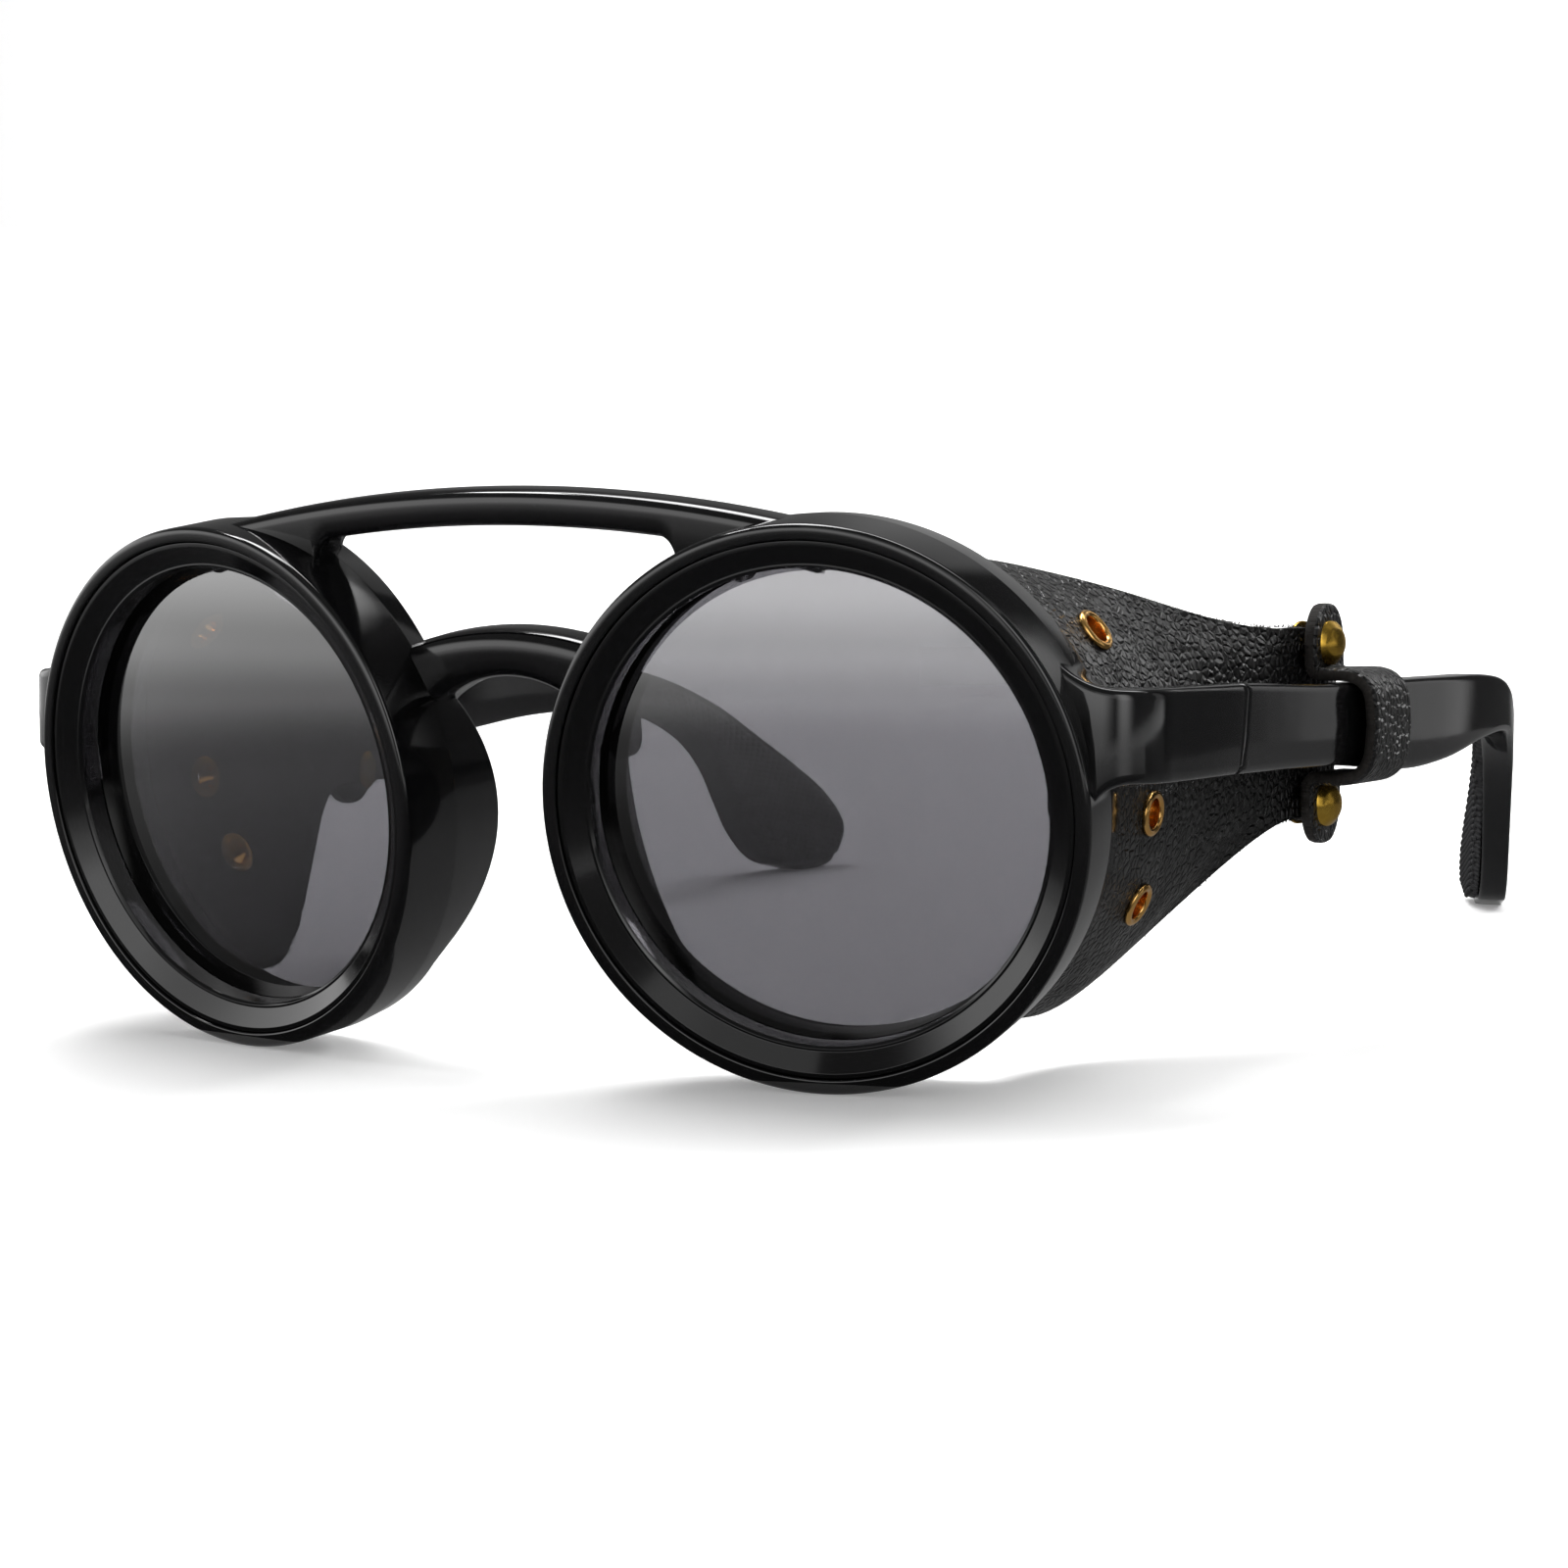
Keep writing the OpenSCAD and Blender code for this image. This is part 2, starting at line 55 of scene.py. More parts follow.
# %% [markdown]
# ## Measures
# The front leans towards the brow and each rim wraps back round the face. The glasses stand
# on their rims and temple tips, so everything is tipped a little once more at the end.

# %% Measures of the glasses, in millimetres and radians
MM = 0.001
REST_TILT = math.radians(2.8)
FRONT_LEAN = math.radians(8.4)
WRAP = math.radians(9)
MIDDLE_Y, STAND_H = 79.6, 28.98
CENTRE_X = 37.4
RIM_R, SEAT_R, LENS_R = 29.2, 27.5, 24.5
LENS_DEPTH = 4.65
REAR_MID, REAR_SLOPE = 11.5, math.atan(3 / 58.4)
SIDE_X, INNER_X = 72.2, 67.8
JOINT_Y, JOINT_SLANT = 28.6, math.radians(9.5)
END_TOP, END_LOW, END_MID = 12.8, 3.5, 8.15
SIDES = {"left": 1, "right": -1}


def lean(points):
    """Tips points towards the brow, as the whole front is."""
    x, y, z = np.asarray(points, float).reshape(-1, 3).T
    c, s = math.cos(FRONT_LEAN), math.sin(FRONT_LEAN)
    return np.stack([x, y * c - z * s, y * s + z * c], 1)


def stand(points, side=1):
    """Millimetres on the glasses to metres on the ground; side -1 is the mirrored piece."""
    x, y, z = np.asarray(points, float).reshape(-1, 3).T
    c, s = math.cos(REST_TILT), math.sin(REST_TILT)
    return np.stack([side * x, y * c + z * s - MIDDLE_Y, z * c - y * s + STAND_H], 1) * MM


def on_rim(r, a, d):
    """A point of the left rim: radius, angle up from the side, depth behind the front."""
    r, a, d = np.broadcast_arrays(np.asarray(r, float), a, d)
    x, z = r * np.cos(a), r * np.sin(a)
    c, s = math.cos(WRAP), math.sin(WRAP)
    return lean(np.stack([CENTRE_X + x * c - d * s, x * s + d * c, z], -1))


def smooth(v):
    v = np.clip(v, 0, 1)
    return v * v * (3 - 2 * v)


# %% [markdown]
# ## Node and colour helpers
# One function turns a hex colour into the linear numbers Blender works in, and one adds a
# node with its settings and links, for materials and Geometry Nodes alike.

# %% Helpers for nodes and colours
def linear(code):
    """An sRGB hex colour as linear RGBA."""
    parts = [int(code[i : i + 2], 16) / 255 for i in (1, 3, 5)]
    return [p / 12.92 if p <= 0.04045 else ((p + 0.055) / 1.055) ** 2.4 for p in parts] + [1]


def add(tree, kind, inputs=None, **settings):
    """One node, its settings, and its inputs as plain values or other nodes' sockets."""
    made = tree.nodes.new(kind)
    for name, value in settings.items():
        setattr(made, name, value)
    for name, value in (inputs or {}).items():
        socket = made.inputs[name]
        if isinstance(value, bpy.types.NodeSocket):
            tree.links.new(value, socket)
        else:
            socket.default_value = value
    return made


def blank(name, base, **shader_values):
    """A material with its constants on the shader, and its tree for the pattern."""
    material = bpy.data.materials.new(name)
    material.use_nodes = True
    material.diffuse_color = linear(base)
    tree = material.node_tree
    shader = tree.nodes["Principled BSDF"]
    shader.inputs["Base Color"].default_value = linear(base)
    for label, value in shader_values.items():
        shader.inputs[label.replace("_", " ")].default_value = value
    return material, tree, shader


def per(millimetres):
    """Texture scale that puts one feature in this many millimetres of Object coordinates."""
    return 1 / (millimetres * MM)


def noise(tree, vector, scale, detail):
    """A noise pattern on the given coordinates."""
    return add(tree, "ShaderNodeTexNoise", {"Vector": vector, "Scale": scale, "Detail": detail})


def roughen(tree, shader, pattern, low, high):
    """Roughness that follows a pattern between two values."""
    spread = add(tree, "ShaderNodeMapRange", {0: pattern, 3: low, 4: high})
    tree.links.new(spread.outputs[0], shader.inputs["Roughness"])


def emboss(tree, shader, height, strength, depth):
    """Relief from a pattern, with its depth in millimetres."""
    bump = add(tree, "ShaderNodeBump", {"Height": height, "Strength": strength, "Distance": depth * MM})
    tree.links.new(bump.outputs[0], shader.inputs["Normal"])


def colour(tree, shader, pattern, dark, light):
    """Base colour that follows a pattern between two hex colours."""
    both = {0: pattern, 6: linear(dark), 7: linear(light)}
    mixed = add(tree, "ShaderNodeMix", both, data_type="RGBA")
    tree.links.new(mixed.outputs[2], shader.inputs["Base Color"])


# %% [markdown]
# ## Polished black plastic
# The front and temples are injection-moulded nylon, tumbled to a deep gloss. The eye sees
# almost no colour, only reflections, so the roughness drifts slightly and a faint swell in
# the surface keeps the highlights from being ruler-straight.

# %% Moulded nylon, tumbled to a gloss
GLOSS, tree, shader = blank("gloss_black_nylon", "#0a0a0b", Roughness=0.07, IOR=1.52)
place = add(tree, "ShaderNodeTexCoord")
# Sink marks and swell of a moulded wall, about 9 mm across
swell = noise(tree, place.outputs["Object"], per(9), 1)
emboss(tree, shader, swell.outputs[0], 0.05, 0.4)
# Hazier patches left by tumbling, about 4 mm across
haze = noise(tree, place.outputs["Object"], per(4), 3)
roughen(tree, shader, haze.outputs[0], 0.05, 0.11)
print(GLOSS.name)

# %% [markdown]
# ## Satin lens rings, grip rubber and hinge metal
# The lens rings come from the same mould family but keep a finer satin, so they read as a
# separate part. The grips are soft rubber, dull and slightly grey.

# %% Satin rings, rubber and steel
RING, tree, shader = blank("satin_black_nylon", "#09090a", Roughness=0.1, IOR=1.48)
place = add(tree, "ShaderNodeTexCoord")
haze = noise(tree, place.outputs["Object"], per(5), 3)
roughen(tree, shader, haze.outputs[0], 0.07, 0.13)

RUBBER, tree, shader = blank("moulded_grip_rubber", "#17171a", Roughness=0.55, IOR=1.5)
place = add(tree, "ShaderNodeTexCoord")
# Talc-fine grain, drawn at 0.15 mm so that it shows at all
grain = noise(tree, place.outputs["Object"], per(0.15), 2)
emboss(tree, shader, grain.outputs[0], 0.25, 0.05)

STEEL, tree, shader = blank("turned_stainless_steel", "#b9bcc0", Roughness=0.3, Metallic=1)
place = add(tree, "ShaderNodeTexCoord")
# Tool marks round the pin, 0.1 mm apart in height
turned_way = (per(3), per(3), per(0.1))
stretch = add(tree, "ShaderNodeMapping", {"Vector": place.outputs["Object"], "Scale": turned_way})
marks = noise(tree, stretch.outputs[0], 1, 2)
roughen(tree, shader, marks.outputs[0], 0.2, 0.42)
print(RING.name, RUBBER.name, STEEL.name)

# %% [markdown]
# ## Smoke lenses
# A category 4 lens lets through a small share of the light and mirrors the sky softly on
# its curved front. Transmission with a dark tint gives both from one shader.

# %% Smoke-tinted lens resin
SMOKE, tree, shader = blank(
    "smoke_lens_resin", "#5a595d", Roughness=0.0, IOR=1.56, Transmission_Weight=1
)
# A hard coat with a slight mirror lifts the sky's reflection
shader.inputs["Coat Weight"].default_value = 1
shader.inputs["Coat IOR"].default_value = 1.9
shader.inputs["Coat Roughness"].default_value = 0
place = add(tree, "ShaderNodeTexCoord")
# The tint pools very slightly, over about 30 mm
pool = noise(tree, place.outputs["Object"], per(30), 1)
colour(tree, shader, pool.outputs[0], "#58575b", "#5b5a5e")
print(SMOKE.name)

# %% [markdown]
# ## Pebbled leather
# The shields are chrome-tanned cowhide with a pressed pebble grain and a thin black finish.
# Cells about 0.8 mm wide with sunken valleys catch small glints. The pattern follows the
# piece's own UV map, which is laid out in centimetres along the leather.

# %% Grain side, flesh side and cut edge
LEATHER, tree, shader = blank("pebbled_black_cowhide", "#0e0d0d", Roughness=0.33, IOR=1.46)
place = add(tree, "ShaderNodeTexCoord")
LAID = 10.0  # one UV unit is 10 mm
warp = noise(tree, place.outputs["UV"], LAID / 2.2, 2)
bent = add(tree, "ShaderNodeVectorMath", {0: warp.outputs[1], "Scale": 0.06}, operation="SCALE")
wavy = add(tree, "ShaderNodeVectorMath", {0: place.outputs["UV"], 1: bent.outputs[0]})
pebbles = {"Vector": wavy.outputs[0], "Scale": LAID / 1.0}
cells = add(tree, "ShaderNodeTexVoronoi", pebbles, feature="DISTANCE_TO_EDGE")
crown = {0: cells.outputs[0], 1: 0.0, 2: 0.3}
pebble_rise_and_shade = add(tree, "ShaderNodeMapRange", crown, interpolation_type="SMOOTHSTEP")
fine = noise(tree, place.outputs["UV"], LAID / 0.3, 4)
wrinkle = noise(tree, wavy.outputs[0], LAID / 3.5, 3)
share = {0: fine.outputs[0], 1: 0.2, 2: pebble_rise_and_shade.outputs[0]}
relief = add(tree, "ShaderNodeMath", share, operation="MULTIPLY_ADD")
share = {0: wrinkle.outputs[0], 1: 0.8, 2: relief.outputs[0]}
high = add(tree, "ShaderNodeMath", share, operation="MULTIPLY_ADD")
emboss(tree, shader, high.outputs[0], 1.0, 0.26)
# Painted shade: the valleys between the pebbles are painted darker than the crowns
colour(tree, shader, pebble_rise_and_shade.outputs[0], "#060606", "#121111")
wax = add(tree, "ShaderNodeMapRange", {0: wrinkle.outputs[0], 1: 0.3, 2: 0.7, 3: 0.26, 4: 0.46})
tree.links.new(wax.outputs[0], shader.inputs["Roughness"])

FLESH, tree, shader = blank("leather_flesh_side", "#1d1a18", Roughness=0.85, IOR=1.4)
place = add(tree, "ShaderNodeTexCoord")
nap = noise(tree, place.outputs["UV"], LAID / 0.25, 5)
emboss(tree, shader, nap.outputs[0], 0.6, 0.1)
colour(tree, shader, nap.outputs[0], "#0f0e0d", "#2a2622")

EDGE, tree, shader = blank("raw_leather_edge", "#141210", Roughness=0.8, IOR=1.4)
place = add(tree, "ShaderNodeTexCoord")
fibre = noise(tree, place.outputs["UV"], LAID / 0.2, 5)
emboss(tree, shader, fibre.outputs[0], 0.9, 0.15)
colour(tree, shader, fibre.outputs[0], "#0a0908", "#241f1b")
print(LEATHER.name, FLESH.name, EDGE.name)

# %% [markdown]
# ## Brass hardware
# The eyelets are gold-plated and stay bright. The rivets are lacquered brass that was set
# with a punch, so their domes keep shallow hammer marks.

# %% Gold plate and punched brass
GOLD, tree, shader = blank("gold_plated_brass", "#e0b060", Roughness=0.16, Metallic=1)
place = add(tree, "ShaderNodeTexCoord")
wear = noise(tree, place.outputs["Object"], per(1.2), 3)
roughen(tree, shader, wear.outputs[0], 0.1, 0.26)
colour(tree, shader, wear.outputs[0], "#d49a4c", "#ecc27c")

BRASS, tree, shader = blank("punched_brass", "#c9a03c", Roughness=0.22, Metallic=1)
place = add(tree, "ShaderNodeTexCoord")
# Hammer facets about 1 mm across
facets = {"Vector": place.outputs["Object"], "Scale": per(1.1)}
dents = add(tree, "ShaderNodeTexVoronoi", facets, feature="SMOOTH_F1")
emboss(tree, shader, dents.outputs[0], 0.35, 0.12)
tarnish = noise(tree, place.outputs["Object"], per(0.8), 4)
colour(tree, shader, tarnish.outputs[0], "#a8802c", "#dcb650")
print(GOLD.name, BRASS.name)


# %% [markdown]
# ## Building meshes
# Most pieces here are lofted: a row of matching sections joined by strips of faces. The
# helpers below close the ends, weld doubled points, turn all faces outwards and keep edges
# sharper than a given angle.

# %% Lofting helpers
def strips(rows, cols, round_rows=False, round_cols=True):
    """Faces between rows of points, numbered row by row."""
    faces = []
    for i in range(rows if round_rows else rows - 1):
        for j in range(cols if round_cols else cols - 1):
            k, m = (i + 1) % rows, (j + 1) % cols
            faces.append((i * cols + j, k * cols + j, k * cols + m, i * cols + m))
    return faces


def caps(rows, cols):
    return [tuple(range(cols)), tuple(range((rows - 1) * cols, rows * cols))]


def ring_faces(rows, closed=True):
    """Faces of a shape whose rows run right round; closed sections unless said otherwise."""
    return strips(len(rows), len(rows[0]), True, closed)


def bar_faces(rows):
    """Faces of a capped bar."""
    return strips(len(rows), len(rows[0])) + caps(len(rows), len(rows[0]))


def link(name, mesh):
    """A new object in the scene."""
    made = bpy.data.objects.new(name, mesh)
    bpy.context.scene.collection.objects.link(made)
    return made


def crisp(mesh, sharp):
    """Smooth shading with edges sharper than an angle in degrees kept."""
    mesh.shade_smooth()
    mesh.set_sharp_from_angle(angle=math.radians(sharp))


def outward(mesh, weld=0.0):
    """Turns all faces outwards, after welding points closer than a distance."""
    work = bmesh.new()
    work.from_mesh(mesh)
    if weld:
        bmesh.ops.remove_doubles(work, verts=work.verts, dist=weld)
    bmesh.ops.delete(work, geom=[v for v in work.verts if not v.link_faces], context="VERTS")
    bmesh.ops.recalc_face_normals(work, faces=work.faces)
    work.to_mesh(mesh)
    work.free()


def piece(name, points, faces, material, body, side, sharp):
    """A closed solid from millimetre points, welded, facing outwards and riding on a body."""
    mesh = bpy.data.meshes.new(name)
    mesh.from_pydata([tuple(p) for p in stand(points, side)], [], faces)
    outward(mesh, 2e-6)
    crisp(mesh, sharp)
    mesh.materials.append(material)
    made = link(name, mesh)
    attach(made, body)
    return made


def rounded(corners, steps=5, closed=True):
    """A polyline with its corners rounded; each corner is (x, y, radius)."""
    out, n = [], len(corners)
    for i, (x, y, r) in enumerate(corners):
        here = np.array([x, y], float)
        if r == 0 or (not closed and i in (0, n - 1)):
            out += [here] * (1 if r == 0 else steps + 1)
            continue
        a = np.array(corners[i - 1][:2], float) - here
        b = np.array(corners[(i + 1) % n][:2], float) - here
        la, lb = np.linalg.norm(a), np.linalg.norm(b)
        cosine = np.clip(a @ b / (la * lb), -1, 1)
        half = math.acos(cosine) / 2
        cut = min(r / math.tan(half), 0.49 * la, 0.49 * lb)
        p, q = here + a / la * cut, here + b / lb * cut
        for t in np.linspace(0, 1, steps + 1):
            out.append((1 - t) ** 2 * p + 2 * t * (1 - t) * here + t * t * q)
    return np.array(out)


def box_section(w, h, r, steps=4):
    """A rounded rectangle, half width w and half height h, as (across, up) points."""
    return rounded([(w, -h, r), (w, h, r), (-w, h, r), (-w, -h, r)], steps)


print("helpers ready")

# %% [markdown]
# ## Rims
# Each rim is a deep ring: a proud rounded front edge, a step down to the seat of the lens
# ring, a wall that tapers behind a crisp bend, and a rear edge that is deeper at the side
# than at the nose. On the nose side the wall swells into the moulded nose pad. The section
# is drawn at 288 angles and lofted once round.

# %% The two rims
GROOVE_R, GROOVE_W, GROOVE_DEPTH = 27.05, 1.8, 10.4
GROOVE_FADE = math.radians(3)
UPPER_SPAN, LOWER_SPAN = math.radians(59), math.radians(63.5)
PAD_DEPTH, PAD_R, PAD_UP = 15.0, 28.0, -4.0


def rim_rear(a):
    """Depth of the rim's rear edge, nose pad included, and how much of it is pad."""
    plain = REAR_MID + RIM_R * math.cos(a) * math.tan(REAR_SLOPE)
    up = RIM_R * math.sin(a) - PAD_UP
    pad = PAD_DEPTH - PAD_R + math.sqrt(max(PAD_R**2 - up * up, 0)) if math.cos(a) < 0 else 0
    blend = 1.2
    h = max(blend - abs(plain - pad), 0) / blend
    return max(plain, pad) + h * h * blend / 4, float(smooth((pad - plain) / 3 + 0.5))


def rim_section(a):
    rear, pad = rim_rear(a)
    wall = RIM_R + 0.1 - 0.108 * max(rear - 7.5, 0)
    behind = 24.2 + 0.06 * max(rear - 7.4, 0)
    past = LOWER_SPAN - abs(math.remainder(a, math.tau))
    inside = smooth(past / GROOVE_FADE + 1)
    bed = rear - max((rear - GROOVE_DEPTH) * float(inside), 0.02)
    outer, inner = GROOVE_R + GROOVE_W / 2, GROOVE_R - GROOVE_W / 2
    soft = 0.35 + 1.2 * pad
    bend = 0.6 + 3 * float(smooth(-math.cos(a)))
    return rounded(
        [
            (SEAT_R + 0.1, 0.05, 0.25), (RIM_R, 0, 0.85), (RIM_R + 0.1, 7.5, bend),
            (wall, rear, min(soft, wall - outer)), (outer, rear, 0.08), (outer, bed, 0),
            (inner, bed, 0), (inner, rear, 0.08), (behind, rear, 0.6 + 0.5 * pad),
            (24.2, 7.4, 0.2), (24.2, 7.05, 0), (25.7, 7.05, 0), (25.7, 4.75, 0), (SEAT_R, 4.7, 0),
        ],
        6,
    )


RIM_ANGLES = np.linspace(0, math.tau, 288, endpoint=False)
for name, side in SIDES.items():
    rows = [on_rim(s[:, 0], a, s[:, 1]) for a in RIM_ANGLES for s in [rim_section(a)]]
    rim = piece(
        f"{name}_rim", np.concatenate(rows), ring_faces(rows), GLOSS, "front", side, 32
    )
    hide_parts("front_frame")
    print(rim.name, len(rim.data.vertices), "points")

# %% [markdown]
# ## Bridges
# The brow bar is a long flat arc behind the rims' front edges, with a softly rounded top
# and small webs where it runs into the rims. The saddle bridge is a thicker arch whose
# lower edge is the keyhole. Both are rows of upright sections, so the depth stays even
# while the top and bottom follow their own curves.

# %% Brow bar and saddle bridge
BAR_R, BAR_TOP, BAR_H = 178.0, 32.6, 3.9
SADDLE_R, SADDLE_TOP, SADDLE_H, KEYHOLE_R = 41.0, 17.8, 5.2, 15.0


def upright(xs, top, low, front, back, section):
    """Sections at each x between two heights, as wide as from front to back."""
    rows = []
    for x in xs:
        hi, lo = top(x), low(x)
        s = section((back - front) / 2, (hi - lo) / 2)
        depth, height = (front + back) / 2 + s[:, 0], (hi + lo) / 2 + s[:, 1]
        rows.append(np.stack([np.full(len(s), x), depth, height], 1))
    return rows


def bar_low(x):
    plain = BAR_TOP - BAR_R + math.sqrt((BAR_R - BAR_H) ** 2 - x * x)
    web = min(max(abs(x) - 20.6, 0) / 2.2, 1)
    return plain - 3.4 * (1 - math.sqrt(1 - web * web)) * (1 if abs(x) < 30 else 0.2)


def bar_top(x):
    return BAR_TOP - BAR_R + math.sqrt(BAR_R**2 - x * x)


ends = np.concatenate([np.linspace(20, 23, 19), np.linspace(24, 29.6, 8), np.linspace(31, 38.5, 8)])
xs = np.concatenate([-ends[::-1], np.linspace(-19, 19, 45), ends])
rows = upright(xs, bar_top, bar_low, 2.5, 7.6, lambda w, h: box_section(w, h, 1.5, 5))
bar = piece(
    "brow_bar", lean(np.concatenate(rows)), bar_faces(rows), GLOSS, "front", 1, 50
)


def saddle_low(x):
    return SADDLE_TOP - SADDLE_H - KEYHOLE_R + math.sqrt(max(KEYHOLE_R**2 - x * x, 9))


def saddle_top(x):
    return SADDLE_TOP - SADDLE_R + math.sqrt(SADDLE_R**2 - x * x)


xs = np.linspace(-13.5, 13.5, 61)
rows = upright(xs, saddle_top, saddle_low, 2.7, 8.9, lambda w, h: box_section(w, h, 2.2, 6))
saddle = piece(
    "saddle_bridge", lean(np.concatenate(rows)), bar_faces(rows), GLOSS, "front", 1, 50
)
print(bar.name, saddle.name)

# %% [markdown]
# ## End pieces
# From each rim an end piece swells out through two small fillets, turns the corner and ends
# at the slanted temple joint. Its sections stand across the turning path, each tall where
# it leaves the rim and even from the corner on.

# %% End pieces
ABOVE_R, BELOW_R = 11.0, 4.3
BEVEL = 0.4


def edge_heights(x):
    """Top and bottom of the end piece: a wide fillet above and a tight one below."""
    above = min(max(69 - x, 0), 8.2)
    below = min(max(69.6 - x, 0), 4.2)
    high = END_TOP + ABOVE_R - math.sqrt(ABOVE_R**2 - above * above)
    return high, END_LOW - BELOW_R + math.sqrt(BELOW_R**2 - below * below)


def turning_path():
    """Outer and inner points of the end piece in plan, from inside the rim to the joint."""
    path = [((x, 6.0), (60 + (x - 60) * 0.5, 14.0)) for x in np.linspace(61, 66.0, 12)]
    for t in np.linspace(0, 1, 21)[1:]:
        q = math.pi / 2 * t
        outer = (66 + 5.5 * math.sin(q), 13.0 - 7.0 * math.cos(q))
        inner = (63 + 4.8 * math.sin(q), 19.0 - 5.0 * math.cos(q))
        path.append((outer, inner))
    for t in np.linspace(0, 1, 14)[1:]:
        y = 13 + (JOINT_Y - 13) * t
        path.append(((71.5 + 0.7 * math.sin(math.pi / 2 * t), y), (INNER_X, 19 + (JOINT_Y - 19) * t)))
    return path


for name, side in SIDES.items():
    rows = []
    path = turning_path()
    for i, (outer, inner) in enumerate(path + path[-1:]):
        o, n = np.array(outer), np.array(inner)
        across, middle = (o - n) / 2, (o + n) / 2
        high, deep = edge_heights(o[0])
        half = float(np.linalg.norm(across))
        trim = BEVEL if i == len(path) else 0
        s = box_section(half - trim, (high - deep) / 2 - trim, 1.1, 5)
        xy = middle + s[:, :1] * across / half
        z = (high + deep) / 2 + s[:, 1]
        slant = min(max(0, (i - len(path) + 13) / 12), 1)
        gap = 0.08 if i == len(path) else BEVEL
        xy[:, 1] += ((z - END_MID) * math.tan(JOINT_SLANT) - gap) * slant
        rows.append(np.stack([xy[:, 0], xy[:, 1], z], 1))
    end = piece(
        f"{name}_end_piece", np.concatenate(rows), bar_faces(rows), GLOSS, "front", side, 50,
    )
    print(end.name, len(end.data.vertices), "points")

# %% [markdown]
# ## Lens rings and lenses
# A dished ring holds each lens: it slopes inwards from the rim, ends in a small bright lip
# and drops down a short bore to the glass. The lens itself is a shallow dome 2 mm thick.
# Both are turned shapes, so one profile is spun round the rim's axis.

# %% Lens rings and lenses
def turned(profile, count=192):
    """A profile of (radius, depth) points spun round the left rim's axis."""
    angles = np.linspace(0, math.tau, count, endpoint=False)
    return [on_rim(profile[:, 0], a, profile[:, 1]) for a in angles]


RING_PROFILE = rounded(
    [
        (SEAT_R - 0.04, 0.4, 0.06), (SEAT_R - 0.5, 0.4, 0.1), (LENS_R + 0.55, 1.75, 0.12),
        (LENS_R + 0.3, 1.72, 0.1), (LENS_R, 2.05, 0.15), (LENS_R, 4.4, 0.1),
        (SEAT_R - 0.04, 4.4, 0.1),
    ],
    5,
)
LENS_CURVE, LENS_EDGE, LENS_T = 130.0, 25.6, 2
dome = np.linspace(0, LENS_EDGE, 25)
back = LENS_DEPTH + math.sqrt(LENS_CURVE**2 - LENS_EDGE**2)
front_face = np.stack([dome, back - np.sqrt(LENS_CURVE**2 - dome**2)], 1)
rear_face = np.stack([dome, back - np.sqrt((LENS_CURVE - LENS_T) ** 2 - dome**2)], 1)[::-1]
for name, side in SIDES.items():
    rows = turned(RING_PROFILE)
    ring = piece(
        f"{name}_dished_ring", np.concatenate(rows), ring_faces(rows), RING, "front", side, 32,
    )
    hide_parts(f"{name}_lens_ring")
    rows = turned(np.concatenate([front_face, rear_face]), 128)
    lens = piece(
        f"{name}_smoke_lens", np.concatenate(rows), ring_faces(rows, False), SMOKE, "front", side, 40,
    )
    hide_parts(f"{name}_lens")
    print(ring.name, lens.name)

# %% [markdown]
# ## Temples
# A temple is a flat bar that stays straight to behind the shield, curves in behind the head
# and drops to a paddle-shaped tip. Its two edges are given as stations seen from the side,
# a smooth curve runs through them, and the plan curve then bends the whole bar inwards.

# %% Temple stations and sections
CURVE_START, CURVE_R, TEMPLE_T = 88.0, 170.0, 4.4
STATIONS = np.array(
    [
        [26, 12.8, 22, 3.5], [55, 12.0, 55, 3.1], [68, 11.9, 67, 2.4], [80, 11.9, 79, 1.6],
        [93, 11.8, 92, 2.2], [108, 11.6, 107, 3.7], [122, 10.6, 121, 4.0], [133, 8.3, 131, 2.8],
        [143, 4.2, 138.5, -0.6], [151, -1.0, 143, -5.2], [157.5, -5.6, 145.8, -10.8],
        [162.5, -10, 148.2, -15.5], [165.3, -15, 152, -19.6], [163.5, -19.6, 157.5, -21.3],
    ],
    float,
)


def through(stations, t):
    """A smooth curve through the stations at t, counted in stations."""
    i = min(int(t), len(stations) - 2)
    f = t - i
    a, b = stations[max(i - 1, 0)], stations[i]
    c, d = stations[i + 1], stations[min(i + 2, len(stations) - 1)]
    bend, twist = 2 * a - 5 * b + 4 * c - d, 3 * b - a - 3 * c + d
    return 0.5 * (2 * b + (c - a) * f + bend * f * f + twist * f**3)


def temple_x(y, inset):
    """Distance out to the temple's outer face, less an inset, at a distance back."""
    y = np.maximum(np.asarray(y, float) - CURVE_START, 0)
    lean_in = np.sqrt(np.maximum((CURVE_R - inset) ** 2 - y * y, 1))
    return SIDE_X - CURVE_R + lean_in


def temple_row(t, front=None, squeeze=1.0, push=0.0, trim=0.0):
    """One section of the temple: a rounded bar between its top and bottom edges."""
    top_y, top_z, low_y, low_z = through(STATIONS, t)
    if front is not None:
        top_y, low_y = front
    top, low = np.array([top_y, top_z]), np.array([low_y, low_z])
    length = float(np.linalg.norm(top - low)) / 2
    s = box_section(TEMPLE_T / 2 * squeeze - trim, length * squeeze - trim, 0.95 * squeeze, 4)
    s[:, 0] *= 1 - 0.2 * float(smooth((t - 6) / 5))
    line = (top - low) / (2 * length)
    onward = np.array([line[1], -line[0]])
    yz = (top + low) / 2 + s[:, 1:] * line + onward * push
    x = temple_x(yz[:, 0], TEMPLE_T / 2 - s[:, 0])
    return np.stack([x, yz[:, 0], yz[:, 1]], 1)


def joint_line(z):
    return JOINT_Y + 0.09 + (z - END_MID) * math.tan(JOINT_SLANT)


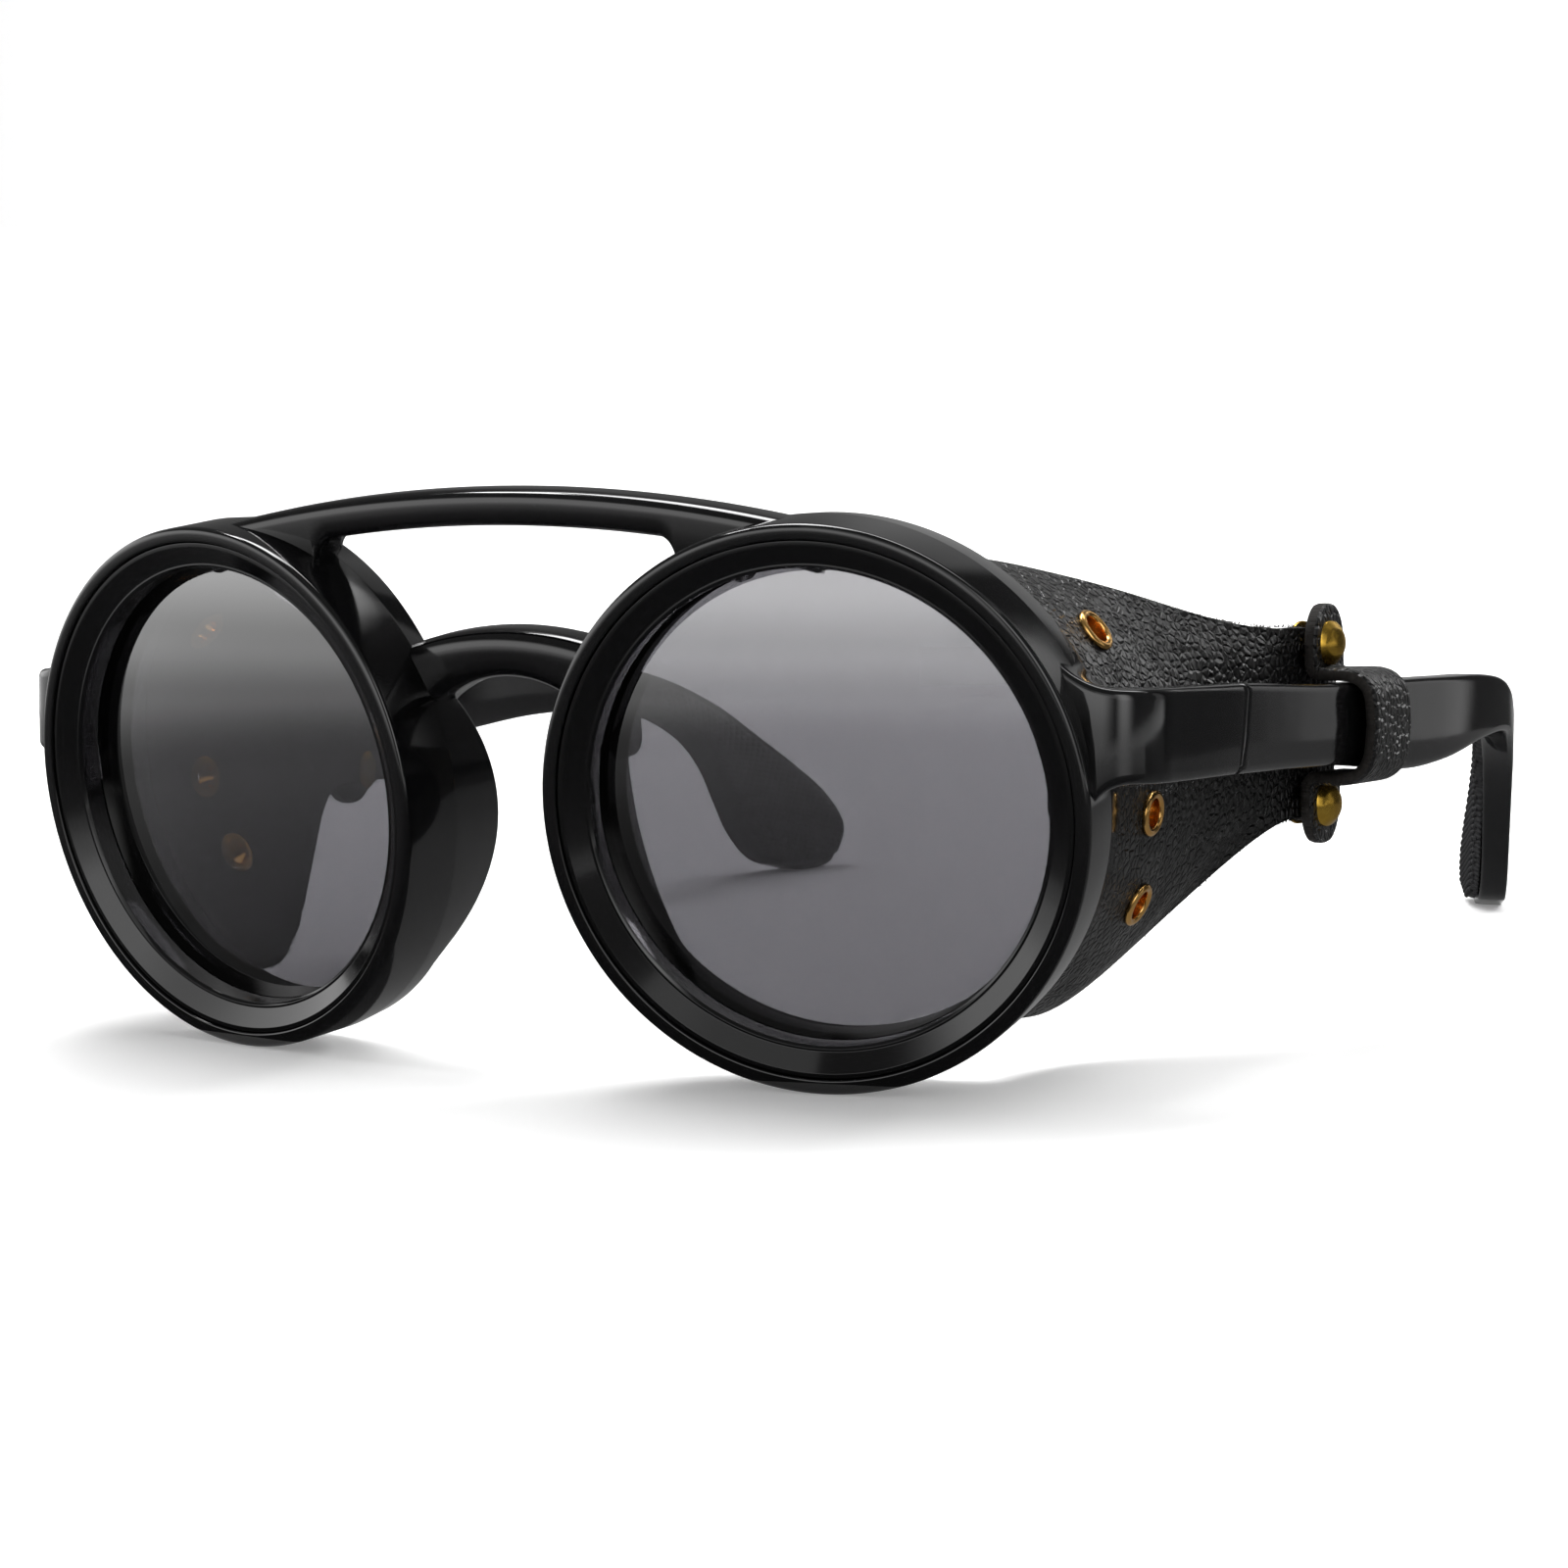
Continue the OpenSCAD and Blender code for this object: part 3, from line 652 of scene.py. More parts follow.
for name, side in SIDES.items():
    rows = []
    for t in np.linspace(0, 1, 17):
        start = (joint_line(END_TOP), joint_line(END_LOW))
        run = [a + (b - a) * t for a, b in zip(start, (55, 55))]
        if t == 0:
            rows.append(temple_row(0, run, trim=BEVEL))
            run = [y + BEVEL for y in run]
        rows.append(temple_row(t, run))
    rows += [temple_row(t) for t in np.arange(1, len(STATIONS) - 1 + 1e-6, 0.1)[1:]]
    last = len(STATIONS) - 1.0
    rows += [temple_row(last, None, math.cos(q), 1.1 * math.sin(q)) for q in (0.35, 0.7, 1.0, 1.25)]
    temple = piece(
        f"{name}_temple_bar", np.concatenate(rows), bar_faces(rows), GLOSS, f"{name}_temple_arm", side, 50,
    )
    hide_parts(f"{name}_temple")
    print(temple.name, len(temple.data.vertices), "points")

# %% [markdown]
# ## Grip pads
# Soft rubber is moulded on to the inner face of each tip, with rows of small domes that
# keep it from slipping. The pad is a thin lofted plate inside the temple's outline. The
# domes repeat, so Geometry Nodes sets one on each of the points laid out over the pad.

# %% The dome tree
def new_tree(name, sockets):
    """A Geometry Nodes tree with its group input and output, and named inputs."""
    tree = bpy.data.node_groups.new(name, "GeometryNodeTree")
    tree.interface.new_socket("Geometry", in_out="INPUT", socket_type="NodeSocketGeometry")
    for label, kind, value in sockets:
        made = tree.interface.new_socket(label, in_out="INPUT", socket_type=kind)
        if value is not None:
            made.default_value = value
    tree.interface.new_socket("Geometry", in_out="OUTPUT", socket_type="NodeSocketGeometry")
    return tree, add(tree, "NodeGroupInput"), add(tree, "NodeGroupOutput")


def grow(name, base, tree, values, body, sharp):
    """Runs a tree on a base mesh and keeps the result as a plain mesh on its own object."""
    carrier = link(name + "_base", base)
    step = carrier.modifiers.new("grow", "NODES")
    step.node_group = tree
    for item in tree.interface.items_tree:
        if item.in_out == "INPUT" and item.name in values:
            step[item.identifier] = values[item.name]
    seen = carrier.evaluated_get(bpy.context.evaluated_depsgraph_get())
    mesh = bpy.data.meshes.new_from_object(seen)
    mesh.name = name
    bpy.data.objects.remove(carrier)
    crisp(mesh, sharp)
    made = link(name, mesh)
    if body:
        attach(made, body)
    return made


def scatter(tree, into, out, instance, **placing):
    """Sets an instance on each incoming point, makes it real and gives it its material."""
    inputs = {"Points": into.outputs["Geometry"], "Instance": instance, **placing}
    set_on = add(tree, "GeometryNodeInstanceOnPoints", inputs)
    real = add(tree, "GeometryNodeRealizeInstances", {"Geometry": set_on.outputs[0]})
    dress = {"Geometry": real.outputs[0], "Material": into.outputs["Material"]}
    dressed = add(tree, "GeometryNodeSetMaterial", dress)
    tree.links.new(dressed.outputs[0], out.inputs[0])


def facing_of(tree):
    """The way that each point faces, as marked on it."""
    return add(tree, "GeometryNodeInputNamedAttribute", {"Name": "facing"}, data_type="FLOAT_VECTOR")


def marked(points, normals):
    """A mesh of loose points in metres that carry the way they face."""
    mesh = bpy.data.meshes.new("marks")
    mesh.from_pydata([tuple(p) for p in points], [], [])
    facing = mesh.attributes.new("facing", "FLOAT_VECTOR", "POINT")
    facing.data.foreach_set("vector", np.asarray(normals, float).ravel())
    return mesh


DOMES, into, out = new_tree(
    "grip_domes",
    [
        ("Dome radius", "NodeSocketFloat", 0.0004),
        ("Dome height", "NodeSocketFloat", 0.0003),
        ("Material", "NodeSocketMaterial", None),
    ],
)
ball = add(DOMES, "GeometryNodeMeshUVSphere", {"Segments": 10, "Rings": 6, "Radius": 1.0})
wide_of, high_of = into.outputs["Dome radius"], into.outputs["Dome height"]
flat = add(DOMES, "ShaderNodeCombineXYZ", {0: wide_of, 1: wide_of, 2: high_of})
shaped = add(DOMES, "GeometryNodeTransform", {"Geometry": ball.outputs[0], "Scale": flat.outputs[0]})
facing = facing_of(DOMES)
turn = add(DOMES, "FunctionNodeAlignRotationToVector", {"Vector": facing.outputs[0]}, axis="Z")
scatter(DOMES, into, out, shaped.outputs[0], Rotation=turn.outputs[0])
print(DOMES.name, len(DOMES.nodes), "nodes")

# %% Grip pads and their domes
PAD_FROM, PAD_TO, PAD_INSET = 6.9, 12.75, 1.3
PAD_CROWN, DOME_PITCH, DOME_STEP = 0.75, 1.25, 0.65


def pad_point(t, s, inset):
    """A point of the pad: t along the stations, s across from -1 to 1, inset from outside."""
    top_y, top_z, low_y, low_z = through(STATIONS, t)
    top, low = np.array([top_y, top_z]), np.array([low_y, low_z])
    half = np.linalg.norm(top - low) / 2
    line = (top - low) / (2 * half)
    y, z = (top + low) / 2 + line * s * (half - PAD_INSET)
    return np.array([temple_x(y, inset), y, z])


pad_steps = np.linspace(PAD_FROM, PAD_TO, 330)
across = np.linspace(-1, 1, 15)
for name, side in SIDES.items():
    rows = []
    for i, t in enumerate(pad_steps):
        near_end = min(i, len(pad_steps) - 1 - i) / 6
        soft = 1 - 0.5 * max(0, 1 - near_end / 2) ** 2
        notch = 1 + 0.08 * abs(math.sin(t * 22))
        section = [pad_point(t, s * soft * notch, TEMPLE_T - 0.3) for s in across]
        section += [
            pad_point(t, s * soft * notch, TEMPLE_T + PAD_CROWN * (1 - abs(s) ** 10)) for s in across[::-1]
        ]
        rows.append(section)
    points = np.array(rows).reshape(-1, 3)
    pad = piece(
        f"{name}_grip", points, bar_faces(rows), RUBBER, f"{name}_temple_arm", side, 55
    )
    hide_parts(f"{name}_grip_pad")
    dots, ways, travelled, line_no = [], [], 0.0, 0
    last = pad_point(PAD_FROM + 0.12, 0, TEMPLE_T)
    for t in np.linspace(PAD_FROM + 0.12, PAD_TO - 0.1, 900):
        here = pad_point(t, 0, TEMPLE_T)
        travelled += float(np.linalg.norm(here - last))
        last = here
        if travelled < DOME_PITCH * line_no / 2:
            continue
        line_no += 1
        top_y, top_z, low_y, low_z = through(STATIONS, t)
        half = math.hypot(top_y - low_y, top_z - low_z) / 2 - PAD_INSET - 0.3
        count = int(half / DOME_STEP)
        for k in range(-count, count + 1):
            if (k + line_no) % 2:
                continue
            s = k * DOME_STEP / (half + 0.3)
            spot = pad_point(t, s, TEMPLE_T + 0.72 * (1 - abs(s) ** 10))
            dots.append(spot)
            ways.append([-1, -(max(spot[1] - CURVE_START, 0)) / CURVE_R, 0])
    where = stand(dots, side)
    way = stand(np.array(dots) + ways, side) - where
    values = {"Dome radius": 0.00046, "Dome height": 0.00036, "Material": RUBBER}
    grow(f"{name}_grip_domes", marked(where, way), DOMES, values, f"{name}_temple_arm", 60)
    print(pad.name, len(dots), "domes")

# %% [markdown]
# ## Leather side shields
# One piece of 1.6 mm leather closes each side. Its front edge is glued into the groove
# behind the rim and follows the rim's round; towards the back it flattens and narrows to
# a tail that is riveted to the temple loop. The sheet is drawn as a fine grid between those
# two shapes, given its thickness, punched for the hardware, and left with raw cut edges.

# %% The shield's surface
SHIELD_T, TAIL_Y, TAIL_TOP, TAIL_LOW = 1.6, 74.5, 18.0, -3.2
TAIL_X, TAIL_FLARE, TAIL_FLAT = INNER_X - 0.5 - SHIELD_T / 2, 0.12, 0.74
TAIL_CUT = 69.5
PLACES = {
    "top": (0.61, 0.158), "middle": (-0.118, 0.18), "low": (-0.475, 0.215),
    "upper": (0.83, 0.84), "lower": (-0.85, 0.815),
}


def grip_depth(a):
    return REAR_MID + GROOVE_R * np.cos(a) * math.tan(REAR_SLOPE)


def grip_angle(u):
    return u * np.where(np.asarray(u) < 0, LOWER_SPAN, UPPER_SPAN)


def shield_mid(u, v):
    """The middle of the leather: u from -1 low to 1 high, v from 0 at the rim to 1 at the tail."""
    u, v = np.broadcast_arrays(np.asarray(u, float), np.asarray(v, float))
    a = grip_angle(u)
    p = on_rim(GROOVE_R, a.ravel(), grip_depth(a.ravel())).reshape(*u.shape, 3)
    y = p[..., 1] + (TAIL_Y - p[..., 1]) * v
    x = TAIL_X - (TAIL_Y - y) * TAIL_FLARE
    z = (TAIL_TOP + TAIL_LOW) / 2 + u * (TAIL_TOP - TAIL_LOW) / 2
    settled = smooth((v - 0.075 + 0.075 * u) / (0.66 + 0.07 * u))
    return np.stack(
        [p[..., 0] + (x - p[..., 0]) * smooth(v / TAIL_FLAT), y, p[..., 2] + (z - p[..., 2]) * settled], -1
    )


def shield_normal(u, v):
    h = 0.01
    u, v = np.asarray(u, float), np.asarray(v, float)
    du = shield_mid(u + h, v) - shield_mid(u - h, v)
    dv = shield_mid(u, v + h) - shield_mid(u, np.maximum(v - h, 0))
    n = np.cross(dv, du)
    return n / np.linalg.norm(n, axis=-1, keepdims=True)


ROWS, COLS = 132, 176
chance = np.random.default_rng(11)
vs = np.linspace(0, 1, ROWS)
us = np.linspace(-1, 1, COLS)
U, V = np.meshgrid(us, vs)
middle, out_way = shield_mid(U, V), shield_normal(U, V)
along = np.concatenate([[0], np.cumsum(np.linalg.norm(np.diff(middle[:, COLS // 2], axis=0), axis=1))])
wide = np.linalg.norm(np.diff(middle, axis=1), axis=2).sum(1)

# %% The shield's mesh
def ragged(count, size, step):
    """Small uneven offsets along a cut edge, alike over a few neighbouring points."""
    knots = np.arange(0, count + step, step)
    rough = np.interp(np.arange(count), knots, chance.normal(0, size, len(knots)))
    return rough + chance.normal(0, size * 0.45, count)


def shield_points():
    """Middle points and facing of the shield, with the tucked front edge."""
    mid, way = middle.copy(), out_way.copy()
    up = np.gradient(mid, axis=1)
    up /= np.linalg.norm(up, axis=2, keepdims=True)
    mid[:, -1] += up[:, -1] * ragged(ROWS, 0.13, 4)[:, None]
    mid[:, 0] -= up[:, 0] * ragged(ROWS, 0.13, 4)[:, None]
    # The leather isn't quite flat: slow waves that fade towards the rim and the tail
    fade = np.sin(np.pi * V) ** 2
    wave = 0.22 * np.sin(U * 5 + V * 7 + 0.6) * fade + 0.15 * np.sin(U * 11 - V * 9) * fade
    calm = np.ones_like(U)
    for u0, v0 in PLACES.values():
        calm *= 1 - np.exp(-(((U - u0) * 22) ** 2 + ((V - v0) * 55) ** 2) / 30)
    mid += way * (wave * calm)[..., None]
    a = grip_angle(us)
    tuck = []
    for depth in (GROOVE_DEPTH + 0.25, GROOVE_DEPTH + 0.9):
        tuck.append(on_rim(GROOVE_R, a, np.minimum(depth, grip_depth(a))))
    radial = on_rim(GROOVE_R + 1, a, 0) - on_rim(GROOVE_R, a, 0)
    mid = np.concatenate([np.array(tuck), mid])
    way = np.concatenate([np.array([radial, radial]), way])
    way[2] = radial
    return mid, way


def leather_sheet(name, mid, way, uv, holes, half, body, side, keep=None):
    """A sheet with a grain side, a flesh side and cut edges, punched where the holes are."""
    rows, cols = mid.shape[:2]
    flat = mid.reshape(-1, 3).copy()
    faces = np.array(strips(rows, cols, False, False))
    centres = flat[faces].mean(1)
    kept = np.ones(len(faces), bool) if keep is None else keep.copy()
    for spot, radius in holes:
        kept &= np.linalg.norm(centres - spot, axis=1) > radius
    faces = faces[kept]
    count = {}
    edges = [pair for f in faces for pair in zip(f, np.roll(f, -1))]
    for a, b in edges:
        key = (min(a, b), max(a, b))
        count[key] = count.get(key, 0) + 1
    rim_edges = [(a, b) for a, b in edges if count[(min(a, b), max(a, b))] == 1]
    border = np.zeros(len(flat), bool)
    border[[i for e in rim_edges for i in e]] = True
    for spot, radius in holes:
        reach = np.linalg.norm(flat - spot, axis=1)
        edge = border & (reach < radius * 1.6)
        flat[edge] = spot + (flat[edge] - spot) * (radius / reach[edge])[:, None]
    thin = np.where(border, 0.62, 1.0)[:, None] * half
    way = way.reshape(-1, 3)
    points = np.concatenate([flat + way * thin, flat - way * thin])
    n = len(flat)
    grain = [tuple(f) for f in faces]
    flesh = [tuple(i + n for i in f[::-1]) for f in faces]
    walls = [(b, a, a + n, b + n) for a, b in rim_edges]
    mesh = bpy.data.meshes.new(name)
    mesh.from_pydata([tuple(p) for p in stand(points, side)], [], grain + flesh + walls)
    for material in (LEATHER, FLESH, EDGE):
        mesh.materials.append(material)
    which = [0] * len(grain) + [1] * len(flesh) + [2] * len(walls)
    mesh.polygons.foreach_set("material_index", which)
    layer = mesh.uv_layers.new(name="laid_flat")
    both = np.concatenate([uv.reshape(-1, 2), uv.reshape(-1, 2)])
    corner = np.empty(len(mesh.loops), int)
    mesh.loops.foreach_get("vertex_index", corner)
    layer.data.foreach_set("uv", both[corner].ravel())
    outward(mesh)
    crisp(mesh, 60)
    made = link(name, mesh)
    if body:
        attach(made, body)
    return made


def spot_of(place):
    u, v = PLACES[place]
    return shield_mid(u, v), shield_normal(u, v)


lengthways = np.concatenate([[-2.2, -1.4], along])[:, None] * np.ones(COLS)
crossways = np.linspace(-0.5, 0.5, COLS) * np.concatenate([[wide[0]] * 2, wide])[:, None]
SHIELD_UV = np.stack([lengthways, crossways], -1) / LAID
EYELET_PLACES, RIVET_PLACES = ("top", "middle", "low"), ("upper", "lower")
EYELET_HOLE, RIVET_HOLE = 1.72, 1.05
shields = {}
for name, side in SIDES.items():
    mid, way = shield_points()
    holes = [(spot_of(p)[0], EYELET_HOLE) for p in EYELET_PLACES]
    holes += [(spot_of(p)[0], RIVET_HOLE) for p in RIVET_PLACES]
    quads = mid.reshape(-1, 3)[np.array(strips(mid.shape[0], COLS, False, False))]
    keep = quads[..., 1].mean(1) < TAIL_CUT
    shield = leather_sheet(
        f"{name}_leather_shield", mid, way, SHIELD_UV, holes, SHIELD_T / 2, None, side, keep
    )
    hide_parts(f"{name}_side_shield")
    shields[name] = shield
    print(shield.name, len(shield.data.polygons), "faces")

# %% [markdown]
# ## Cut fibres
# A raw leather edge is furry at close range: short ends of fibre stand out of the cut.
# Geometry Nodes sets a small tapered fibre on points scattered along the upper and lower
# edge, each turned and scaled by its own seeded chance.

# %% The fibre tree and the fibres
FIBRES, into, out = new_tree(
    "cut_fibres",
    [
        ("Length", "NodeSocketFloat", 0.0005),
        ("Thickness", "NodeSocketFloat", 0.00007),
        ("Seed", "NodeSocketInt", 5),
        ("Material", "NodeSocketMaterial", None),
    ],
)
thick, long, seed = into.outputs["Thickness"], into.outputs["Length"], into.outputs["Seed"]
taper = {"Vertices": 4, "Radius Top": 0.00001, "Radius Bottom": thick, "Depth": long}
spike = add(FIBRES, "GeometryNodeMeshCone", taper)
facing = facing_of(FIBRES)
spread = {0: (-0.8, -0.8, -0.8), 1: (0.8, 0.8, 0.8), "Seed": seed}
stray = add(FIBRES, "FunctionNodeRandomValue", spread, data_type="FLOAT_VECTOR")
bent = add(FIBRES, "ShaderNodeVectorMath", {0: facing.outputs[0], 1: stray.outputs[0]})
turn = add(FIBRES, "FunctionNodeAlignRotationToVector", {"Vector": bent.outputs[0]}, axis="Z")
size = add(FIBRES, "FunctionNodeRandomValue", {2: 0.3, 3: 1.0, "Seed": seed}, data_type="FLOAT")
scatter(FIBRES, into, out, spike.outputs[0], Rotation=turn.outputs[0], Scale=size.outputs[1])

fringes = {}
for name, side in SIDES.items():
    dots, ways = [], []
    for edge, u in ((COLS - 1, 1), (0, -1)):
        for v in chance.uniform(0.02, 0.9, 420):
            up = shield_mid(u, v) - shield_mid(u * 0.98, v)
            up /= np.linalg.norm(up)
            n = shield_normal(u, v)
            dots.append(shield_mid(u, v) + n * chance.uniform(-0.6, 0.6) + up * 0.02)
            ways.append(up)
    where = stand(dots, side)
    way = (stand(np.array(dots) + ways, side) - where) / MM
    values = {"Length": 0.0005, "Thickness": 0.00006, "Seed": 5 + side, "Material": EDGE}
    fringe = grow(f"{name}_cut_fibres", marked(where, way), FIBRES, values, None, 40)
    fringes[name] = fringe
    print(fringe.name, len(dots), "fibres")

# %% [markdown]
# ## Temple loops
# The loop is a strap cut from the same leather. Its two round tabs are riveted over the
# shield's tail, and between them it stands out, passes over the outside of the temple and
# comes back, so the temple can slide through it. It is one strip lofted along that path.

# %% Temple loops
LOOP_T, LOOP_W, TAB_R = 1.4, 11.0, 4.4
LOOP_X, LOOP_TOP, LOOP_LOW, LOOP_MID_Y = SIDE_X + 1.0, 13.5, 0.7, 66.3


def loop_path():
    """Centre line of the strap with the width at each point, from upper tab to lower tab."""
    upper, up_n = spot_of("upper")
    lower, low_n = spot_of("lower")
    lift = SHIELD_T / 2 + 0.15 + LOOP_T / 2
    a, b = upper + up_n * lift, lower + low_n * lift
    x0, x1 = a[0], LOOP_X + LOOP_T / 2
    top, low = LOOP_TOP - LOOP_T / 2, LOOP_LOW + LOOP_T / 2
    line = rounded(
        [
            (x0, a[2] + TAB_R, 0), (x0 + 0.05, top, 1.1), (x1, top + 0.1, 4.2),
            (x1 + 0.05, low - 0.1, 4.2), (b[0], low, 1.1), (b[0], b[2] - TAB_R, 0),
        ],
        7,
    )
    steps = np.linalg.norm(np.diff(line, axis=0), axis=1)
    run = np.concatenate([[0], np.cumsum(steps)])
    even = np.linspace(0, run[-1], 150)
    x, z = np.interp(even, run, line[:, 0]), np.interp(even, run, line[:, 1])
    marks = [0, TAB_R * 2, run[-1] / 2, run[-1] - TAB_R * 2, run[-1]]
    y = np.interp(even, marks, [a[1], a[1] + 0.2, LOOP_MID_Y, b[1] + 0.2, b[1]])
    ends = np.minimum(even, run[-1] - even)
    tab = np.where(ends < TAB_R, np.sqrt(np.maximum(TAB_R**2 - (TAB_R - ends) ** 2, 0.3)), TAB_R)
    width = tab + (LOOP_W / 2 - TAB_R) * smooth((ends - 2 * TAB_R + 1) / 4)
    return np.stack([x, y, z], 1), width, even


for name, side in SIDES.items():
    line, width, run = loop_path()
    ahead = np.gradient(line, axis=0)
    ahead /= np.linalg.norm(ahead, axis=1, keepdims=True)
    out_n = np.cross([0, 1, 0], ahead) * -1
    out_n /= np.linalg.norm(out_n, axis=1, keepdims=True)
    if out_n[len(out_n) // 2][0] < 0:
        out_n = -out_n
    share = np.linspace(-1, 1, 33)
    mid = line[:, None] + np.array([0, 1, 0]) * (share[None, :, None] * width[:, None, None])
    mid[:, 0, 1] += ragged(len(line), 0.07, 3)
    mid[:, -1, 1] += ragged(len(line), 0.07, 3)
    way = np.repeat(out_n[:, None], 33, 1)
    uv = np.stack([np.repeat(run[:, None], 33, 1), share[None] * width[:, None]], -1) / 10 + 4
    loop = leather_sheet(
        f"{name}_leather_loop", mid, way, uv, [], LOOP_T / 2, f"{name}_temple_arm", side
    )
    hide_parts(f"{name}_temple_loop")

# %% [markdown]
# ## Eyelets and rivets
# Eyelets are rolled tubes: a round flange outside, a barrel through the leather, and a
# washer they are clinched over inside. Rivets are domed caps pressed on a post. Each form
# is turned once and Geometry Nodes sets it wherever its leather is punched.

# %% The setting tree and the turned forms
SETTING, into, out = new_tree(
    "set_hardware", [("Form", "NodeSocketObject", None), ("Material", "NodeSocketMaterial", None)]
)
form = add(SETTING, "GeometryNodeObjectInfo", {"Object": into.outputs["Form"], "As Instance": True})
facing = facing_of(SETTING)
turn = add(SETTING, "FunctionNodeAlignRotationToVector", {"Vector": facing.outputs[0]}, axis="Z")
scatter(SETTING, into, out, form.outputs["Geometry"], Rotation=turn.outputs[0])


def turned_form(name, profile, closed, count=48):
    """A small turned part round its own Z axis, from (radius, height) points in millimetres."""
    rows = [np.stack([profile[:, 0] * math.cos(a), profile[:, 0] * math.sin(a), profile[:, 1]], 1)
            for a in np.linspace(0, math.tau, count, endpoint=False)]
    mesh = bpy.data.meshes.new(name)
    mesh.from_pydata([tuple(p * MM) for p in np.concatenate(rows)], [], ring_faces(rows, closed))
    outward(mesh, 1e-6)
    made = link(name, mesh)
    made.hide_render = True
    return made


H = SHIELD_T / 2
EYELET = turned_form("eyelet_form", rounded([
    (2.4, H, 0.05), (2.42, H + 0.35, 0.3), (2.0, H + 0.62, 0.35), (1.55, H + 0.4, 0.3), (1.42, -H - 0.5, 0.3),
    (1.65, -H - 0.72, 0.2), (2.0, -H - 0.5, 0.08), (1.66, -H - 0.45, 0.05), (1.62, H, 0.1)], 4), True)
WASHER = turned_form("washer_form", rounded([
    (2.5, -H - 0.2, 0.08), (2.5, -H - 0.5, 0.12), (1.68, -H - 0.6, 0.1), (1.68, -H - 0.2, 0.05)], 3), True)
TOP = H + 0.15 + LOOP_T
RIVET = turned_form("rivet_form", np.concatenate([[[0, -H - 0.75]], rounded([
    (1.0, -H - 0.75, 0.1), (1.0, TOP + 0.1, 0), (1.7, TOP + 0.05, 0.05), (2.5, TOP + 0.05, 0.1),
    (2.5, TOP + 0.5, 0.3), (1.7, TOP + 1.25, 1.0), (0.6, TOP + 1.5, 0.8)], 4, False), [[0, TOP + 1.52]]]), False)
BURR = turned_form("burr_form", rounded([
    (1.05, -H - 0.1, 0.05), (2.4, -H - 0.1, 0.1), (2.45, -H - 0.5, 0.2), (1.7, -H - 0.8, 0.2),
    (1.05, -H - 0.8, 0.1)], 3), True)
print("eyelet, washer, rivet and burr turned")

# %% Eyelets, washers, rivets and burrs in place
EYELET_PARTS = (
    (EYELET, "eyelets", GOLD, "{0}_{1}_eyelet", "gold_eyelet"),
    (WASHER, "eyelet_washers", GOLD, "{0}_{1}_eyelet_washer", "gold_eyelet"),
)
RIVET_PARTS = (
    (RIVET, "rivets", BRASS, "{0}_{1}_rivet", "brass_rivet"),
    (BURR, "rivet_burrs", BRASS, "{0}_{1}_rivet_back", "brass_rivet"),
)
for name, side in SIDES.items():
    arm = f"{name}_temple_arm"
    for places, body, parts in ((EYELET_PLACES, "front", EYELET_PARTS), (RIVET_PLACES, arm, RIVET_PARTS)):
        spots = [spot_of(p) for p in places]
        where = stand([s for s, n in spots], side)
        turn = 0.14 if places is RIVET_PLACES else 0
        way = (stand([s + n - [0, turn, 0] for s, n in spots], side) - where) / MM
        for part, label, material, node, slot in parts:
            values = {"Form": part, "Material": material}
            made = grow(f"{name}_{label}", marked(where, way), SETTING, values, body, 40)
            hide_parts(*[node.format(name, p) for p in places])
            print(made.name, len(made.data.polygons), "faces")
for part in (EYELET, WASHER, RIVET, BURR):
    bpy.data.objects.remove(part)

# %% [markdown]
# ## Leather over the joint
# The shields and their cut fibres ride on no body, and their placement is baked into their points. Nothing bends
# the leather between the rim and its tail.

# %% Bake the shields' placement into their points
for name, side in SIDES.items():
    start = stand([[66, 33, 7]], side)[0]
    end = stand([[66, 62, 7]], side)[0]
    for soft in (shields[name], fringes[name]):
        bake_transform(soft)

# %% [markdown]
# ## Hinges
# The hinge leaves, their barrels and the screws keep their modelled shape. They get the turned steel finish.

# %% Hinge metal
for name in SIDES:
    for part in ("front_hinge_leaf", "temple_hinge_leaf", "hinge_screw"):
        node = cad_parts[f"{name}_{part}"]
        node.data.materials.clear()
        node.data.materials.append(STEEL)
print("hinges in steel")

# %% [markdown]
# ## Studio
# Black gloss shows only what surrounds it. The glasses stand on a pale sweep under a soft
# box. Panels that only reflections can see stand round them: a bright screen in front that
# fades towards the floor, a dark flag behind each side and a light strip at the side.

